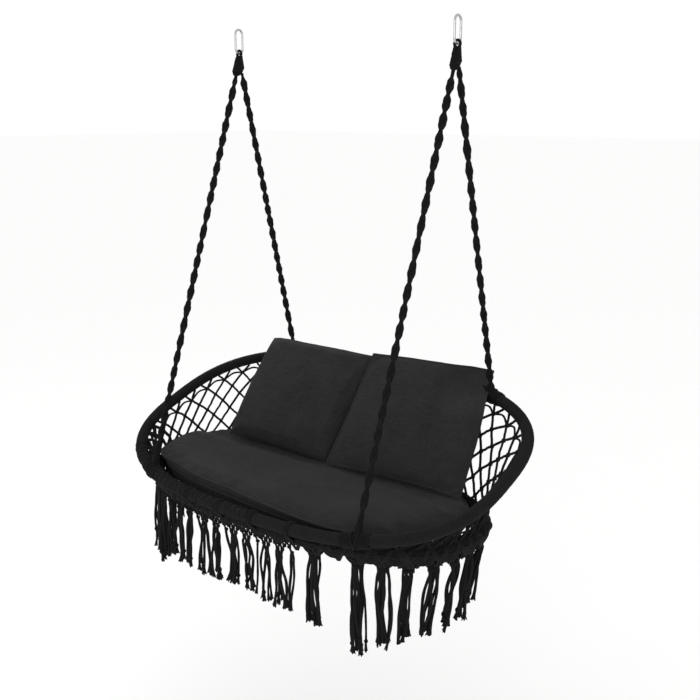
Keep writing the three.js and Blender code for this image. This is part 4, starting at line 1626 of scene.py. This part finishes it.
back_cushion(
    "left", left=-0.422, right=-0.017, high=0.352, turn=BACK_TURN,
    roll=math.radians(2.0), raise_by=-0.002, inner=1, seed=11, shape=shape_left,
)
back_cushion(
    "right", left=-0.014, right=0.446, high=BACK_HIGH, turn=BACK_TURN + math.radians(1.0),
    roll=0.0, raise_by=0.0, inner=-1, seed=23, shape=shape_right,
)

# ------------------------------------------------------------------ seat cushion

SEAT = Oval(0.512, 0.262, 2.5)
SEAT_X, SEAT_Y = -0.018, -0.057
SEAT_LOW, SEAT_HIGH = -0.168, -0.090  # below the upper hoop's centre
SEAT_HALF = (SEAT_HIGH - SEAT_LOW) / 2
SEAT_MID = (SEAT_HIGH + SEAT_LOW) / 2
SEAT_PRESS = 0.024  # how far the back of the cushion is pressed down
SEAM_LEVEL = 0.30  # levels run from -1 to 1 over the cushion's height
# share of the way out, level
SEAT_TOP = (
    (0, 1.00), (0.3, 1.0), (0.55, 0.98), (0.75, 0.93), (0.87, 0.84), (0.945, 0.66),
    (0.982, 0.46), (1, SEAM_LEVEL),
)
SEAT_BOTTOM = (
    (0, -1.27), (0.5, -1.20), (0.8, -1.04), (0.88, -0.92), (0.915, -0.70), (0.928, -0.48),
    (0.940, -0.24), (0.962, 0.04), (0.984, 0.20), (1, SEAM_LEVEL),
)
# how the front edge is moved along it: x, move up, move back
EDGE_X = (-0.53, -0.46, -0.36, -0.10, 0.10, 0.28, 0.45)
EDGE_UP = (0.0, 0.008, 0.018, 0.018, 0.009, -0.004, -0.004)
EDGE_BACK = (0.0, 0.004, 0.015, 0.014, 0.006, -0.003, 0.0)


def seat_z(level, y):
    pressed = ease((y + 0.060) / 0.080)
    return LIFT + SEAT_MID + level * SEAT_HALF - SEAT_PRESS * pressed * np.maximum(level, 0)


def seat_warp(points):
    """The front edge rides up on the left and settles on the right."""
    x, y, z = np.moveaxis(points, -1, 0)
    share = SEAT.share(x - SEAT_X, y - SEAT_Y)
    low = z < LIFT + SEAT_MID + SEAM_LEVEL * SEAT_HALF - 0.001
    low_rim = np.clip((share - 0.93) / 0.07, 0, 1)
    high_rim = np.clip((share - 0.55) / 0.45, 0, 1) ** 1.5
    front_rim = np.where(low, low_rim, high_rim) * ease((-0.10 - y) / 0.12)
    outer = np.clip((share - 0.4) / 0.6, 0, 1)
    # the left end is puffed up towards the back
    puff = np.clip((-0.30 - x) / 0.18, 0, 1) * np.clip((y + 0.16) / 0.12, 0, 1)
    puff = puff * np.where(low, 0.35, 1.0) * np.clip(share / 0.6, 0, 1)
    widen = np.interp(x, [-0.53, -0.30, 0.20, 0.494], [-0.019, 0.0, 0.0, 0.018])
    return np.stack([
        x + widen * outer,
        y + np.interp(x, EDGE_X, EDGE_BACK) * front_rim,
        z + np.interp(x, EDGE_X, EDGE_UP) * front_rim + 0.011 * puff,
    ], -1)


def seat_sheets():
    """The cushion's top and bottom as grids, and their flat uv."""
    u, v = crowded(92, 0.55)
    x, y = u * np.sqrt(1 - v**2 / 2), v * np.sqrt(1 - u**2 / 2)
    share = np.minimum(np.hypot(x, y), 1)
    rim = Oval(SEAT.half_x - 0.003, SEAT.half_y - 0.003, SEAT.power)
    rim_x, rim_y = rim.point(np.arctan2(y, x))
    x, y = SEAT_X + rim_x * share, rim_y * share + SEAT_Y
    sheets = []
    for profile in (SEAT_TOP, SEAT_BOTTOM):
        fine = smooth_path(profile, 90)
        level = np.interp(share, np.maximum.accumulate(fine[:, 0]), fine[:, 1])
        sheets.append(seat_warp(np.stack([x, y, seat_z(level, y)], -1)))
    return *sheets, np.stack([u * SEAT.half_x, v * SEAT.half_y], -1)


def seat_wrinkles(points):
    """Ripples, puckers near the seam, and a hollow under each back cushion."""
    x, y = points[:, 0] - SEAT_X, points[:, 1] - SEAT_Y
    source = np.random.default_rng(5)
    amount = ripples(source, points[:, 0], points[:, 1], count=9, spread=14, height=0.0008)
    angle = SEAT.angle_of(x, y)
    near_rim = np.exp(-(((SEAT.share(x, y) - 0.92) / 0.05) ** 2))
    amount += near_rim * np.sin(angle * 44 + 2 * np.sin(angle * 5)) * 0.0010
    for middle in (-0.22, 0.21):
        from_x, from_y = (points[:, 0] - middle) / 0.15, (points[:, 1] - 0.03) / 0.05
        amount -= 0.003 * np.exp(-(from_x**2 + from_y**2))
    above = points[:, 2] - (LIFT + SEAT_MID + 0.4 * SEAT_HALF)
    points[:, 2] += amount * np.clip(above / 0.012, 0, 1)


def seat_line(tree, level):
    """A closed line round the cushion's side at a level, and its outward directions."""
    x, y = SEAT.point(full_turn(640))
    x, y = SEAT_X + x, SEAT_Y + y
    line = []
    for point in seat_warp(np.stack([x, y, seat_z(level, y)], -1)):
        centre = Vector((SEAT_X, SEAT_Y, point[2]))
        out = Vector(unit((point - np.array(centre)) * [1, 1, 0]))
        hit = tree.ray_cast(centre + out * 0.8, -out)[0]
        line.append(point if hit is None else np.array(hit))
    line = soften_ring(np.array(line), 4)
    return line, unit((line - [SEAT_X, SEAT_Y, 0]) * [1, 1, 0])


def seat_cushion():
    cover = sewn_sheets("seat_cushion_cloth", *seat_sheets())
    inflate(cover, pressure=3.0, limit=0.005, hold=(0.35, 0.35, 1.0))
    points = coords(cover)
    seat_wrinkles(points)
    set_coords(cover, points)
    subdivide(cover)
    centre = (SEAT_X, SEAT_Y, LIFT + SEAT_MID)
    foam = filling_of(cover, "seat_cushion_pad", FOAM, centre, (0.94, 0.90, 0.62))

    tree = surface_tree(cover)
    bag = Bag()
    for level, radius, proud in ((SEAM_LEVEL, 0.0030, 0.0006), (-0.28, 0.0022, 0.0002)):
        line, out = seat_line(tree, level)
        bag.sweep(line + out * proud, UP, radius, 8, closed=True)
    piping = bag.object("seat_cushion_piping", PIPING)
    # the zip runs along the back
    line, _ = seat_line(tree, 0.02)
    line = line[(np.abs(line[:, 0]) < 0.209) & (line[:, 1] > 0)]
    line = line[np.argsort(line[:, 0])] + BACK * 0.0006
    zip_line = zipper("seat_cushion_zipper", line, out=BACK, across=UP)
    assign(cover, "seat_cushion", "seat_cushion_cover")
    assign(piping, "seat_cushion")
    assign(zip_line, "seat_cushion", "seat_cushion_zip")
    assign(foam, "seat_cushion", "seat_cushion_foam")


seat_cushion()

# ------------------------------------------------------------------ floor, light, camera

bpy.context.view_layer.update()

FLOOR_HALF, FLOOR_Z = 60.0, -0.62


def studio_floor():
    bag = Bag()
    ends = (-FLOOR_HALF, FLOOR_HALF)
    bag.grid(np.array([[[x, y, FLOOR_Z] for y in ends] for x in ends]))
    material = Shader("studio_floor").surface({
        "Base Color": (0.96, 0.96, 0.955, 1),
        "Roughness": 0.9,
    })
    bag.object("studio_floor", material, smooth=False)


def white_world():
    world = bpy.data.worlds.new("studio")
    bpy.context.scene.world = world
    world.use_nodes = True
    background = world.node_tree.nodes["Background"]
    background.inputs["Color"].default_value = (1, 1, 1, 1)
    background.inputs["Strength"].default_value = 1.01


def place_facing(made, location, direction):
    bpy.context.scene.collection.objects.link(made)
    made.location = location
    made.rotation_mode = "QUATERNION"
    made.rotation_quaternion = Vector(direction).to_track_quat("-Z", "Y")


def lamp(name, location, target, size, power):
    light = bpy.data.lights.new(name, "AREA")
    light.shape = "SQUARE"
    light.size = size
    light.energy = power
    made = bpy.data.objects.new(name, light)
    place_facing(made, location, Vector(target) - Vector(location))


def camera():
    lens = bpy.data.cameras.new("camera")
    lens.lens = 50.14
    lens.sensor_width = 36
    made = bpy.data.objects.new("camera", lens)
    place_facing(made, (1.7668, -2.0428, 0.9240 + LIFT), (-0.6115, 0.7533, -0.2423))
    bpy.context.scene.camera = made


studio_floor()
white_world()
lamp("key", location=(1.9, -3.1, 1.5), target=(0, 0, 0.45), size=1.8, power=34)
lamp("fill", location=(-3.0, -1.6, 2.2), target=(0, 0, 0.4), size=2.2, power=12)
lamp("top", location=(0.0, 0.6, 3.6), target=(0, 0, 0.4), size=2.0, power=1)
camera()
bpy.context.scene.view_settings.view_transform = "Standard"
